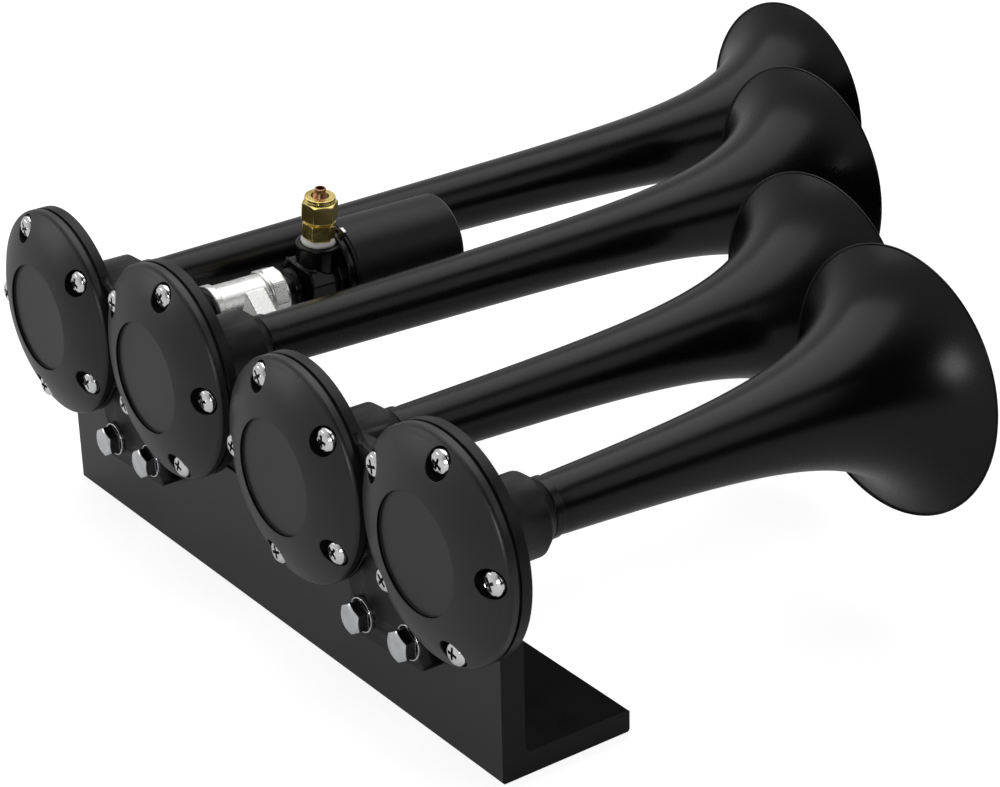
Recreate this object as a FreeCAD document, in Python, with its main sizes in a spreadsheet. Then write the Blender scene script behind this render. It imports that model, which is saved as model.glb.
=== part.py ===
"""A car air horn: four trumpets on one angle bracket, with a solenoid air valve between the two longest.

Frame, in millimetres: X runs along the bracket from the longest trumpet (left) to the shortest (right),
Y runs back from the front covers to the bells, Z is up. The origin is the middle of the flange's underside.

The horns sit in two pairs. Each pair shares one cast twin housing, whose lug is bolted to the bracket's leg.
A pair is bolted on at a slight tilt, which lifts its right horn a little above its left one. The valve is
screwed to its tee, so it too stands a few degrees off upright.
"""
import FreeCAD
import Part
import math
import os

import Sketcher
from FreeCAD import Placement, Rotation, Vector

# Every driving dimension: its name in the sheet, its number and what it is.
SIZES = [
    ("bracket_length", 336, "bracket, along the row of horns"),
    ("bracket_depth", 62, "bracket, front face to the flange's rear edge"),
    ("bracket_height", 60, "bracket, flange underside to the leg's top edge"),
    ("leg_wall", 11, "bracket, thickness of the upright leg"),
    ("flange_wall", 10, "bracket, thickness of the flange"),
    ("root_round", 3, "bracket, round in the inner corner"),
    ("edge_break", 0.8, "bracket, broken edges of leg and flange"),
    ("fixing_hole_radius", 4.5, "bracket, holes for M8 bolts into the vehicle"),
    ("fixing_hole_spacing", 200, "bracket, distance between the two fixing holes"),
    ("horn_pitch", 99, "distance between the two horns of a pair"),
    ("pair_spacing", 200, "distance between the middles of the two pairs"),
    ("horn_height", 97.5, "horn axes above the flange's underside, at the middle of the left pair"),
    ("right_drop", 1, "right pair's middle below the left pair's"),
    ("tilt_left", 3, "degrees that the left twin housing is turned about Y"),
    ("tilt_right", 4.3, "degrees that the right twin housing is turned about Y"),
    ("front_gap", 15.5, "cover's edge plane to the bracket's front face"),
    ("cap_radius", 47.5, "front cover, outer radius"),
    ("cover_edge", 4.2, "front cover, height of its edge band"),
    ("crown_height", 8.5, "front cover, dome's inner edge above the top of the edge band"),
    ("crown_radius", 24.5, "front cover, flat sunk crown"),
    ("crown_recess", 0.9, "front cover, depth of the crown below the dome's inner edge"),
    ("dome_round", 60, "front cover, radius of the dome's arc"),
    ("edge_round", 3.2, "front cover, radius at its outer edge"),
    ("edge_round_width", 2.4, "front cover, width of the rounded edge"),
    ("edge_round_drop", 2, "front cover, height of the rounded edge"),
    ("edge_straight", 3.1, "front cover, straight part of its edge"),
    ("cover_wall", 3, "front cover, wall under crown and dome"),
    ("hollow_drop", 4.2, "front cover, fall of its hollow from the crown to the land"),
    ("land_radius", 31.5, "inner radius of the ring on which cover and diaphragm seat"),
    ("screw_circle", 40, "radius of the circle of cover screws"),
    ("screw_radius", 2.5, "cover screws, M5 thread"),
    ("screw_head_radius", 5, "cover screws, pan head"),
    ("screw_head_height", 3.3, "cover screws, pan head"),
    ("screw_head_flat", 2.5, "cover screws, radius of the pan head's flat top"),
    ("screw_head_rim", 1.5, "cover screws, straight edge of the pan head"),
    ("screw_hole_ease", 0.2, "cover screw hole larger than the screw, on the radius"),
    ("thread_ease", 0.02, "tapped holes larger than the thread's outer radius"),
    ("counterbore_radius", 6.4, "front cover, round recess for a screw's head"),
    ("counterbore_floor", 3.4, "front cover, thickness left under a screw's head"),
    ("diaphragm_wall", 0.4, "steel diaphragm"),
    ("gasket_wall", 0.8, "gasket between diaphragm and housing"),
    ("seam_inset", 1.2, "diaphragm and gasket smaller than the cover, on the radius"),
    ("plate_wall", 4.5, "twin housing, flange plate"),
    ("waist_round", 12, "twin housing, concave rounds between its two flanges"),
    ("cup_radius", 35, "twin housing, back of each air chamber"),
    ("cup_depth", 9.6, "twin housing, flange front to the back of the chamber"),
    ("chamber_depth", 6.6, "twin housing, depth of the air chamber"),
    ("nozzle_radius", 13, "twin housing, ring on which the diaphragm beats"),
    ("hub_radius", 17.2, "twin housing, hub that holds a trumpet"),
    ("hub_length", 42.6, "twin housing, flange front to the hub's end"),
    ("hub_taper_length", 6.3, "twin housing, taper at the hub's end"),
    ("hub_taper_drop", 4.8, "twin housing, radius lost over the taper"),
    ("throat_radius", 9, "air way through nozzle and spigot"),
    ("rib_height", 24, "twin housing, rib between the hubs"),
    ("rib_depth", 25, "twin housing, flange front to the port's face"),
    ("port_boss_radius", 13, "twin housing, boss round the air port"),
    ("port_radius", 6.6, "quarter-inch pipe thread, outer radius"),
    ("port_depth", 16, "depth of a quarter-inch pipe thread in its port"),
    ("air_way_radius", 2.4, "twin housing, cross drilling from port to chambers"),
    ("lug_width", 51, "twin housing, lug on the bracket"),
    ("lug_front", 2.1, "twin housing, flange front to the lug's front"),
    ("lug_bottom", 64, "twin housing, lug's lower edge below the horn axes"),
    ("lug_round", 3, "twin housing, lower corners of the lug"),
    ("lug_bolt_spacing", 33, "lug bolts, distance between the two"),
    ("lug_bolt_drop", 53.5, "lug bolts, below the horn axes"),
    ("bolt_radius", 3.15, "lug bolts, quarter-inch thread"),
    ("bolt_hole_ease", 0.3, "bolt holes larger than the bolt, on the radius"),
    ("bolt_flats", 11.1, "lug bolts and nuts, width across flats"),
    ("bolt_head_height", 4, "lug bolts, head"),
    ("bolt_end", 2.5, "lug bolts, thread that stands past the nut"),
    ("bolt_face_radius", 5.1, "lug bolts, round face inside the bevel"),
    ("bolt_bevel_slope", 0.5, "lug bolts, fall of the bevel for its run"),
    ("cutter_margin", 0.2, "bevel's cutter past the corners that it cuts"),
    ("washer_radius", 7.2, "lug washers, front and back"),
    ("washer_wall", 1.5, "lug washers, front and back"),
    ("nut_height", 5.5, "lug nuts"),
    ("spigot_radius", 11, "trumpet, spigot in the hub"),
    ("spigot_length", 25, "trumpet, spigot in the hub"),
    ("spigot_ease", 0.05, "hub's socket larger than the spigot, on the radius"),
    ("collar_radius", 12.5, "trumpet, moulded collar against the hub"),
    ("collar_length", 4.2, "trumpet, moulded collar against the hub"),
    ("collar_round", 1.2, "trumpet, rounded edges of the collar"),
    ("tube_radius", 11.7, "trumpet, tube at the collar"),
    ("bell_radius", 58.7, "trumpet, bell's mouth"),
    ("trumpet_wall", 2.4, "trumpet, wall measured along a radius"),
    ("bell_flare", 0.79, "share of the bell that opens slowly"),
    ("slow_flare", 38.2, "length over which the slow flare falls off"),
    ("quick_flare", 9.5, "length over which the lip's flare falls off"),
    ("reach_1", 396, "trumpet 1, hub's end to the mouth"),
    ("reach_2", 315, "trumpet 2, hub's end to the mouth"),
    ("reach_3", 232, "trumpet 3, hub's end to the mouth"),
    ("reach_4", 186, "trumpet 4, hub's end to the mouth"),
    ("cone_1", 18.5, "trumpet 1, radius that its conical tube would have at the mouth"),
    ("cone_2", 16.5, "trumpet 2, the same"),
    ("cone_3", 16, "trumpet 3, the same"),
    ("cone_4", 17.2, "trumpet 4, the same"),
    ("nipple_flats", 19, "inlet nipple, width across flats"),
    ("nipple_bore", 4.5, "nipples and elbow, radius of the air way"),
    ("inlet_reach", 20.6, "port's face to the tee"),
    ("tee_seat", 14, "length of a nipple's thread in the tee"),
    ("tee_arm", 20.5, "tee, centre to each of its ends"),
    ("tee_radius", 10.5, "tee, body between its bands"),
    ("tee_band_radius", 12.4, "tee, round band at its inlet"),
    ("tee_inlet_band", 6.3, "tee, length of the round band at its inlet"),
    ("tee_band_flats", 24.5, "tee, eight-sided bands, width across flats"),
    ("tee_band_length", 9, "tee, length of its bands"),
    ("branch_drop", 40, "degrees that the tee's branch points down"),
    ("valve_reach", 6.5, "tee's end to the valve body"),
    ("valve_turn", 8, "degrees that the valve is turned about the tee's axis"),
    ("valve_ring_radius", 9.7, "valve nipple, thin ring between tee and body"),
    ("valve_ring_length", 2.5, "valve nipple, thin ring between tee and body"),
    ("valve_seat", 6.5, "length of the valve nipple's thread in the valve body"),
    ("body_width", 28, "valve body, across"),
    ("body_length", 27.2, "valve body, along the tee's axis"),
    ("body_top", 11.5, "valve body, top face above the tee's axis"),
    ("body_bottom", 15, "valve body, underside below the tee's axis"),
    ("body_bevel", 4, "valve body, bevelled long edges, width"),
    ("body_bevel_drop", 5.7, "valve body, bevelled long edges, height"),
    ("neck_radius", 20.5, "valve body, round neck against the coil plate"),
    ("neck_length", 8, "valve body, round neck against the coil plate"),
    ("boss_radius", 10.5, "valve body, upright port boss"),
    ("boss_top", 21, "valve body, boss above the tee's axis"),
    ("boss_offset", 11.3, "valve body, its front face to the boss's axis"),
    ("boss_edge", 1, "valve body, bevel round the boss's top"),
    ("port_floor", 8.5, "valve body, floor of the upright port above the tee's axis"),
    ("outlet_way_radius", 2.2, "valve body, drilling from the armature's socket to the nipple"),
    ("feed_way_radius", 1.2, "valve body, drilling from the upright port to the armature's socket"),
    ("feed_way_rise", 10, "valve body, that drilling above the tee's axis"),
    ("coil_rise", 4.3, "coil's axis above the tee's axis"),
    ("coil_radius", 22, "coil housing"),
    ("coil_length", 50, "coil housing"),
    ("coil_round", 2.5, "coil housing, rounded rear edge"),
    ("plate_thickness", 1.5, "coil plate"),
    ("plate_radius", 21.4, "coil plate"),
    ("tab_width", 7, "coil plate, bright tab on its top edge"),
    ("tab_height", 2.4, "coil plate, bright tab on its top edge"),
    ("armature_radius", 8, "armature tube in the coil"),
    ("armature_wall", 0.8, "armature tube in the coil"),
    ("armature_seat", 6, "armature tube, length in the valve body"),
    ("plunger_length", 24, "plunger in the armature tube"),
    ("plunger_ease", 0.3, "plunger smaller than its tube, on the radius"),
    ("spring_radius", 4, "return spring, middle of its wire"),
    ("spring_wire", 0.6, "return spring, radius of its wire"),
    ("spring_turns", 4, "return spring"),
    ("coil_nut_flats", 19, "nut that holds the coil on its tube"),
    ("coil_nut_height", 6, "nut that holds the coil on its tube"),
    ("tape_wall", 0.5, "white thread tape on the fitting's thread"),
    ("tape_show", 2, "thread tape that shows above the boss"),
    ("tape_bulge", 7.8, "thread tape, radius of the part that shows"),
    ("hex_bevel", 0.5, "slope of the bevels at the ends of the brass hexagons"),
    ("fitting_flats", 14.5, "brass fitting's body, width across flats"),
    ("fitting_turn", 5, "degrees from the X axis to a corner of that hexagon"),
    ("fitting_hex_height", 8.2, "brass fitting's body, hexagon"),
    ("fitting_neck_height", 5, "brass fitting's body, threaded neck inside the nut"),
    ("fitting_neck_radius", 6, "brass fitting's body, threaded neck inside the nut"),
    ("fitting_bore", 3.3, "brass fitting's body, radius of the air way"),
    ("nut_flats", 16, "brass nut, width across flats"),
    ("nut_turn", 11, "degrees from the X axis to a corner of that hexagon"),
    ("nut_hex_height", 9.4, "brass nut, hexagon"),
    ("nut_cap_radius", 7.1, "brass nut, round top"),
    ("nut_cap_height", 2.2, "brass nut, round top"),
    ("nut_cap_bore", 4.2, "brass nut, hole in its round top"),
    ("nut_gap", 0.6, "bare thread between the fitting's hexagon and its nut"),
    ("insert_radius", 3.85, "copper tube insert, in the ferrule and the nut"),
    ("insert_tip", 2.45, "copper tube insert, radius of its tip"),
    ("insert_land", 1.3, "copper tube insert, straight part at its tip"),
    ("insert_bore", 2, "copper tube insert, radius of its bore"),
    ("insert_show", 3.3, "copper tube insert, tapered end above the nut"),
    ("pipe_radius", 5, "cross pipe"),
    ("pipe_wall", 1, "cross pipe"),
    ("pipe_bend", 22, "cross pipe, radius of its bends"),
    ("pipe_drop", 40, "cross pipe's level run below the horn axes"),
    ("pipe_seat", 10, "cross pipe, length inside tee and elbow"),
    ("pipe_nut_flats", 17, "cross pipe's nuts, width across flats"),
    ("pipe_nut_length", 9, "cross pipe's nuts"),
    ("elbow_radius", 8.2, "port elbow, body and arm"),
    ("elbow_reach", 9, "port's face to the elbow's centre"),
    ("elbow_arm", 20.5, "port elbow, centre to its outlet's end"),
]

HORNS = (1, 2, 3, 4)
SCREWS_PER_COVER = 5
SCREW_STEP = 360 / SCREWS_PER_COVER
CORNER_PER_FLAT = 1 / math.sqrt(3)
CORNER_UP = 30
OCTAGON_CORNER_PER_FLAT = 0.5 / math.cos(math.radians(22.5))
FLARE_SPANS = 4
FLARE_CROWDING = 2.2
ALONG_Y = Rotation(Vector(1, 0, 0), -90)
UPRIGHT = Rotation()

doc = FreeCAD.newDocument("AirHorn")
sheet = doc.addObject("Spreadsheet::Sheet", "Sizes")


class Size:
    """A length or an angle that knows its number and the formula in the sheet that gives it."""

    def __init__(self, number, formula=None):
        self.number = float(number)
        self.formula = formula or repr(float(number))

    def combine(self, other, sign, number):
        return Size(number, f"({self.formula} {sign} {other.formula})")

    def __add__(self, other):
        other = as_size(other)
        return self.combine(other, "+", self.number + other.number)

    def __sub__(self, other):
        other = as_size(other)
        return self.combine(other, "-", self.number - other.number)

    def __mul__(self, other):
        other = as_size(other)
        return self.combine(other, "*", self.number * other.number)

    def __truediv__(self, other):
        other = as_size(other)
        return self.combine(other, "/", self.number / other.number)

    def __radd__(self, other):
        return as_size(other) + self

    def __rsub__(self, other):
        return as_size(other) - self

    def __rmul__(self, other):
        return as_size(other) * self

    def __neg__(self):
        return as_size(-1) * self


def as_size(value):
    return value if isinstance(value, Size) else Size(value)


def sine(angle):
    angle = as_size(angle)
    return Size(math.sin(math.radians(angle.number)), f"sin({angle.formula} * 1 deg)")


def cosine(angle):
    angle = as_size(angle)
    return Size(math.cos(math.radians(angle.number)), f"cos({angle.formula} * 1 deg)")


def root(value):
    return Size(math.sqrt(value.number), f"sqrt({value.formula})")


class Sizes:
    """The sheet's values by name."""

    def __init__(self, table):
        for row, (name, number, meaning) in enumerate(table, start=1):
            sheet.set(f"A{row}", name)
            sheet.set(f"B{row}", str(number))
            sheet.set(f"C{row}", meaning)
            sheet.setAlias(f"B{row}", name)
            setattr(self, name, Size(number, f"Sizes.{name}"))
        doc.recompute()


at = Sizes(SIZES)


class Places:
    """Places in the part's frame that several pieces share, worked out from the sizes."""

    half_pitch = at.horn_pitch / 2
    rim = -(at.bracket_depth / 2) - at.front_gap
    cover_back = rim + at.cover_edge
    cover_front = rim - at.crown_height
    screw_seat = cover_back - at.counterbore_floor
    diaphragm_back = cover_back + at.diaphragm_wall
    housing_front = diaphragm_back + at.gasket_wall
    lug_face = housing_front + at.lug_front
    leg_front = -(at.bracket_depth / 2)
    leg_back = leg_front + at.leg_wall
    hub_end = housing_front + at.hub_length
    port_face = housing_front + at.rib_depth
    tee_start = port_face + at.inlet_reach
    tee_centre = tee_start + at.tee_arm
    tee_end = tee_centre + at.tee_arm
    body_start = tee_end + at.valve_reach
    boss_axis = body_start + at.boss_offset
    body_end = body_start + at.body_length
    coil_start = body_end + at.plate_thickness
    coil_end = coil_start + at.coil_length
    hex_base = at.boss_top + at.tape_show
    hex_top = hex_base + at.fitting_hex_height
    nut_base = hex_top + at.nut_gap
    ferrule_base = nut_base + at.fitting_neck_height
    nut_hex_top = nut_base + at.nut_hex_height
    nut_top = nut_hex_top + at.nut_cap_height
    port_length = at.boss_top - at.port_floor
    elbow_centre = port_face + at.elbow_reach


def pair_middle(side):
    """X and Z of the middle of the left (-1) or right (+1) pair."""
    height = at.horn_height if side < 0 else at.horn_height - at.right_drop
    return side * at.pair_spacing / 2, height


def pair_tilt(side):
    return at.tilt_left if side < 0 else at.tilt_right


def side_of(horn):
    return -1 if horn in (1, 2) else 1


def in_housing(side, across, up):
    """X and Z of a point given in a twin housing's own tilted frame."""
    x, z = pair_middle(side)
    tilt = pair_tilt(side)
    return x + across * cosine(tilt) - up * sine(tilt), z + across * sine(tilt) + up * cosine(tilt)


def horn_axis(horn):
    """X and Z of a horn's axis, half a pitch to one side of its pair's middle."""
    half = -1 if horn in (1, 3) else 1
    return in_housing(side_of(horn), half * Places.half_pitch, as_size(0))


def tilted(side):
    """The turn about Y that lifts a pair's right side."""
    return Rotation(Vector(0, 1, 0), -pair_tilt(side).number)


def on_valve(up):
    """X and Z of a point of the valve at a height above the tee's axis."""
    x, z = pair_middle(-1)
    return x + up * sine(at.valve_turn), z + up * cosine(at.valve_turn)


def valve_upright():
    """The valve's own turn about the tee's axis."""
    return Rotation(Vector(0, 1, 0), at.valve_turn.number)


def screw_angles(horn):
    """Angles of a cover's screws about its axis, one of them on the pair's outer side."""
    first = 180 if horn in (1, 3) else 0
    return [first + SCREW_STEP * turn for turn in range(SCREWS_PER_COVER)]


# Drawing helpers


def place(item, x, y, z, rotation=UPRIGHT):
    """Put an object at a point whose coordinates stay bound to the sheet."""
    point = [as_size(value) for value in (x, y, z)]
    item.Placement = Placement(Vector(*[value.number for value in point]), rotation)
    for axis, value in zip("xyz", point):
        item.setExpression(f"Placement.Base.{axis}", value.formula)
    return item


def new_body(label):
    body = doc.addObject("PartDesign::Body", "Body_" + label)
    body.Label = label
    return body


def new_sketch(body, plane, lift=0):
    """A sketch on one of the body's own origin planes, lifted along that plane's normal."""
    sketch = body.newObject("Sketcher::SketchObject", "Sketch")
    planes = [part for part in body.Origin.OriginFeatures if part.Role == plane]
    sketch.AttachmentSupport = [(planes[0], "")]
    sketch.MapMode = "FlatFace"
    lift = as_size(lift)
    sketch.AttachmentOffset = Placement(Vector(0, 0, lift.number), Rotation())
    sketch.setExpression("AttachmentOffset.Base.z", lift.formula)
    return sketch


def pin_point(sketch, geometry, end, point):
    """Fix one end of a line or arc at a point, both coordinates bound to the sheet."""
    for kind, value in zip(("DistanceX", "DistanceY"), point):
        index = sketch.addConstraint(Sketcher.Constraint(kind, -1, 1, geometry, end, value.number))
        sketch.setExpression(f"Constraints[{index}]", value.formula)


def arc_between(start, end, radius, bulge):
    """The short arc from start to end that bulges to the left (+1) or right (-1) of its chord.

    A sketch counts an arc's ends anticlockwise, so one that bulges to the left is made end to start.
    """
    chord = end - start
    middle = (start + end) * 0.5
    left = Vector(-chord.y, chord.x, 0).normalize()
    rise = math.sqrt(max(radius * radius - chord.Length * chord.Length / 4, 0))
    top = middle + left * bulge * (radius - rise)
    return Part.Arc(start, top, end) if bulge < 0 else Part.Arc(end, top, start)


def outline(body, plane, corners, lift=0):
    """A closed outline. A corner is (x, y), or (x, y, radius, bulge) where an arc leads to the next one."""
    sketch = new_sketch(body, plane, lift)
    points = [(as_size(corner[0]), as_size(corner[1])) for corner in corners]
    spots = [Vector(x.number, y.number, 0) for x, y in points]
    ends = []
    for index, corner in enumerate(corners):
        start = spots[index]
        end = spots[(index + 1) % len(spots)]
        if len(corner) == 2:
            geometry = sketch.addGeometry(Part.LineSegment(start, end), False)
            ends.append((geometry, 1, 2))
            continue
        radius, bulge = as_size(corner[2]), corner[3]
        geometry = sketch.addGeometry(arc_between(start, end, radius.number, bulge), False)
        ends.append((geometry, 1, 2) if bulge < 0 else (geometry, 2, 1))
        bound = sketch.addConstraint(Sketcher.Constraint("Radius", geometry, radius.number))
        sketch.setExpression(f"Constraints[{bound}]", radius.formula)
    for index, (geometry, start_end, last_end) in enumerate(ends):
        following, following_start, _ = ends[(index + 1) % len(ends)]
        sketch.addConstraint(
            Sketcher.Constraint("Coincident", geometry, last_end, following, following_start)
        )
        pin_point(sketch, geometry, start_end, points[index])
    return sketch


def circles(body, plane, rings, lift=0):
    """A sketch of circles, each (x, y, radius)."""
    sketch = new_sketch(body, plane, lift)
    for ring in rings:
        x, y, radius = [as_size(value) for value in ring]
        circle = Part.Circle(Vector(x.number, y.number, 0), Vector(0, 0, 1), radius.number)
        geometry = sketch.addGeometry(circle, False)
        pin_point(sketch, geometry, 3, (x, y))
        bound = sketch.addConstraint(Sketcher.Constraint("Radius", geometry, radius.number))
        sketch.setExpression(f"Constraints[{bound}]", radius.formula)
    return sketch


def feature(body, kind, sketch, length=None, backwards=False):
    """A pad or pocket of a bound length, or a full turn about the sketch's upright axis."""
    made = body.newObject("PartDesign::" + kind, kind)
    made.Profile = sketch
    if kind in ("Revolution", "Groove"):
        made.ReferenceAxis = (sketch, ["V_Axis"])
        made.Angle = 360
    else:
        made.setExpression("Length", as_size(length).formula)
        made.Reversed = backwards
    doc.recompute()
    return made


def pad_back(body, sketch, length):
    """Material from an XZ sketch towards +Y, which is against that plane's normal."""
    return feature(body, "Pad", sketch, length, backwards=True)


def cut_back(body, sketch, length):
    """A pocket from an XZ sketch towards +Y; the volume must fall."""
    before = body.Shape.Volume
    made = feature(body, "Pocket", sketch, length)
    if body.Shape.Volume >= before:
        raise RuntimeError("a pocket of " + body.Label + " cuts nothing")
    return made


def edges_where(shape, test):
    """Names of the edges that pass a test."""
    return [f"Edge{index}" for index, edge in enumerate(shape.Edges, start=1) if test(edge)]


def is_circle(edge, radius, y=None):
    """Whether an edge is a circle about a Y axis with this radius, at this Y where one is given."""
    curve = edge.Curve
    if not isinstance(curve, Part.Circle) or abs(curve.Radius - radius) > 1e-4:
        return False
    if abs(abs(curve.Axis.y) - 1) > 1e-6:
        return False
    return y is None or abs(curve.Center.y - y) < 1e-4


def cylinder(radius, length, x, y, z, rotation=ALONG_Y):
    item = doc.addObject("Part::Cylinder", "Cylinder")
    item.setExpression("Radius", as_size(radius).formula)
    item.setExpression("Height", as_size(length).formula)
    return place(item, x, y, z, rotation)


def prism(sides, flats, length, x, y, z, rotation=ALONG_Y):
    """A prism given by its width across flats."""
    share = CORNER_PER_FLAT if sides == 6 else OCTAGON_CORNER_PER_FLAT
    item = doc.addObject("Part::Prism", "Prism")
    item.Polygon = sides
    item.setExpression("Circumradius", (as_size(flats) * share).formula)
    item.setExpression("Height", as_size(length).formula)
    return place(item, x, y, z, rotation)


def fuse(parts, label="Fusion"):
    item = doc.addObject("Part::MultiFuse", "Fuse")
    item.Shapes = parts
    item.Refine = True
    item.Label = label
    return item


def cut(base, tool, label="Difference"):
    item = doc.addObject("Part::Cut", "Cut")
    item.Base = base
    item.Tool = tool
    item.Refine = True
    item.Label = label
    return item


def group(label, shapes):
    """One node that holds several separate solids."""
    item = doc.addObject("Part::Feature", label)
    item.Label = label
    item.Shape = Part.makeCompound(shapes)
    return item


def copies(pattern, spots, rotation=UPRIGHT):
    """Copies of a body's shape at (x, y, z) spots."""
    shapes = []
    for spot in spots:
        shape = pattern.Shape.copy()
        shape.Placement = Placement(Vector(*[as_size(value).number for value in spot]), rotation)
        shapes.append(shape)
    return shapes


# Bracket


def bracket():
    """One length of steel angle, drawn in section and padded along X, with its bolt holes."""
    body = new_body("bracket")
    front = Places.leg_front
    back = at.bracket_depth / 2
    section = outline(
        body,
        "YZ_Plane",
        [
            (front, 0),
            (back, 0),
            (back, at.flange_wall),
            (Places.leg_back + at.root_round, at.flange_wall, at.root_round, 1),
            (Places.leg_back, at.flange_wall + at.root_round),
            (Places.leg_back, at.bracket_height),
            (front, at.bracket_height),
        ],
        -(at.bracket_length / 2),
    )
    bar = feature(body, "Pad", section, at.bracket_length)
    half_length = at.bracket_length.number / 2
    ends = edges_where(
        bar.Shape,
        lambda edge: abs(abs(edge.CenterOfMass.x) - half_length) > 1 and isinstance(edge.Curve, Part.Line),
    )
    outer = [name for name in ends if not touches_root(bar.Shape, name)]
    chamfer = body.newObject("PartDesign::Chamfer", "Chamfer")
    chamfer.Base = (bar, outer)
    chamfer.setExpression("Size", at.edge_break.formula)
    doc.recompute()
    holes = []
    for side in (-1, 1):
        for half in (-1, 1):
            x, z = in_housing(side, half * at.lug_bolt_spacing / 2, -at.lug_bolt_drop)
            holes.append((x, z, at.bolt_radius + at.bolt_hole_ease))
    cut_back(body, circles(body, "XZ_Plane", holes, -front), at.leg_wall)
    middle = (Places.leg_back + back) / 2
    half = at.fixing_hole_spacing / 2
    spots = [(x, middle, at.fixing_hole_radius) for x in (-half, half)]
    before = body.Shape.Volume
    feature(body, "Pocket", circles(body, "XY_Plane", spots), at.flange_wall, backwards=True)
    if body.Shape.Volume >= before:
        raise RuntimeError("the fixing holes cut nothing")
    return body


def touches_root(shape, name):
    """Whether an edge bounds the round of the inner corner."""
    edge = shape.getElement(name)
    y, z = edge.CenterOfMass.y, edge.CenterOfMass.z
    near_leg = abs(y - Places.leg_back.number) < at.root_round.number + 0.1
    near_flange = abs(z - at.flange_wall.number) < at.root_round.number + 0.1
    return near_leg and near_flange


# Twin housings


def waist_outline(body):
    """Two round flanges side by side, joined by a waist with concave rounds."""
    reach = Places.half_pitch
    tangent = at.cap_radius / (at.cap_radius + at.waist_round)
    height = root((at.cap_radius + at.waist_round) * (at.cap_radius + at.waist_round) - reach * reach)
    x = reach - reach * tangent
    z = height * tangent
    return outline(
        body,
        "XZ_Plane",
        [
            (x, z, at.waist_round, 1),
            (-x, z),
            (-x, -z, at.waist_round, 1),
            (x, -z),
        ],
    )


def twin_housing(label, side):
    """One casting: flanges, chambers, hubs, rib with the air port, and the lug on the bracket."""
    body = new_body(label)
    horns = (-Places.half_pitch, Places.half_pitch)

    def rings(radius):
        return [(x, 0, radius) for x in horns]

    pad_back(body, waist_outline(body), at.plate_wall)
    pad_back(body, circles(body, "XZ_Plane", rings(at.cap_radius)), at.plate_wall)
    pad_back(body, circles(body, "XZ_Plane", rings(at.cup_radius)), at.cup_depth)
    hubs = pad_back(body, circles(body, "XZ_Plane", rings(at.hub_radius)), at.hub_length)
    ends = edges_where(hubs.Shape, lambda edge: is_circle(edge, at.hub_radius.number, at.hub_length.number))
    taper = body.newObject("PartDesign::Chamfer", "Chamfer")
    taper.Base = (hubs, ends)
    taper.ChamferType = "Two distances"
    taper.setExpression("Size", at.hub_taper_drop.formula)
    taper.setExpression("Size2", at.hub_taper_length.formula)
    doc.recompute()
    if taper_is_swapped(body):
        taper.FlipDirection = True
        doc.recompute()
    half_rib = at.rib_height / 2
    rib = outline(
        body,
        "XZ_Plane",
        [(horns[0], -half_rib), (horns[1], -half_rib), (horns[1], half_rib), (horns[0], half_rib)],
    )
    pad_back(body, rib, at.rib_depth - at.lug_front)
    pad_back(body, circles(body, "XZ_Plane", [(0, 0, at.port_boss_radius)]), at.rib_depth)
    half_lug = at.lug_width / 2
    corner = at.lug_round
    lug = outline(
        body,
        "XZ_Plane",
        [
            (-half_lug, -half_rib),
            (-half_lug, corner - at.lug_bottom, corner, -1),
            (corner - half_lug, -at.lug_bottom),
            (half_lug - corner, -at.lug_bottom, corner, -1),
            (half_lug, corner - at.lug_bottom),
            (half_lug, -half_rib),
        ],
        -at.lug_front,
    )
    pad_back(body, lug, Places.leg_front - Places.lug_face)
    cut_housing(body, rings, horns)
    x, z = pair_middle(side)
    return place(body, x, Places.housing_front, z, tilted(side))


def taper_is_swapped(body):
    """Whether the two distances of the hub's taper came out the wrong way round."""
    end = at.hub_length.number
    wanted = at.hub_radius.number - at.hub_taper_drop.number
    return not edges_where(body.Shape, lambda edge: is_circle(edge, wanted, end))


def cut_housing(body, rings, horns):
    """Chambers, nozzles, bores, screw holes, bolt holes and the air way of a twin housing."""
    cut_back(body, circles(body, "XZ_Plane", rings(at.land_radius)), at.chamber_depth)
    nozzle_lift = at.gasket_wall
    nozzles = circles(body, "XZ_Plane", rings(at.nozzle_radius), nozzle_lift)
    pad_back(body, nozzles, at.gasket_wall + at.chamber_depth)
    throats = circles(body, "XZ_Plane", rings(at.throat_radius), nozzle_lift)
    cut_back(body, throats, at.gasket_wall + at.hub_length)
    socket_start = at.hub_length - at.spigot_length
    sockets = circles(body, "XZ_Plane", rings(at.spigot_radius + at.spigot_ease), -socket_start)
    cut_back(body, sockets, at.spigot_length)
    screws = []
    for x, first in zip(horns, (180, 0)):
        for turn in range(SCREWS_PER_COVER):
            angle = first + SCREW_STEP * turn
            across = x + at.screw_circle * cosine(angle)
            up = at.screw_circle * sine(angle)
            screws.append((across, up, at.screw_radius + at.thread_ease))
    cut_back(body, circles(body, "XZ_Plane", screws), at.plate_wall)
    half = at.lug_bolt_spacing / 2
    bolts = [(x, -at.lug_bolt_drop, at.bolt_radius + at.bolt_hole_ease) for x in (-half, half)]
    cut_back(body, circles(body, "XZ_Plane", bolts, -at.lug_front), Places.leg_front - Places.lug_face)
    port_start = at.rib_depth - at.port_depth
    port = circles(body, "XZ_Plane", [(0, 0, at.port_radius + at.thread_ease)], -port_start)
    cut_back(body, port, at.port_depth)
    way_end = at.chamber_depth - at.air_way_radius
    reach = Places.half_pitch - at.nozzle_radius - at.air_way_radius
    drilling = circles(body, "YZ_Plane", [(way_end, 0, at.air_way_radius)], -reach)
    before = body.Shape.Volume
    feature(body, "Pocket", drilling, reach * 2, backwards=True)
    if body.Shape.Volume >= before:
        raise RuntimeError("the air way cuts nothing")
    riser = circles(body, "XZ_Plane", [(0, 0, at.air_way_radius)], -way_end)
    cut_back(body, riser, port_start - way_end)


# Covers, diaphragms, gaskets and their screws


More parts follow.
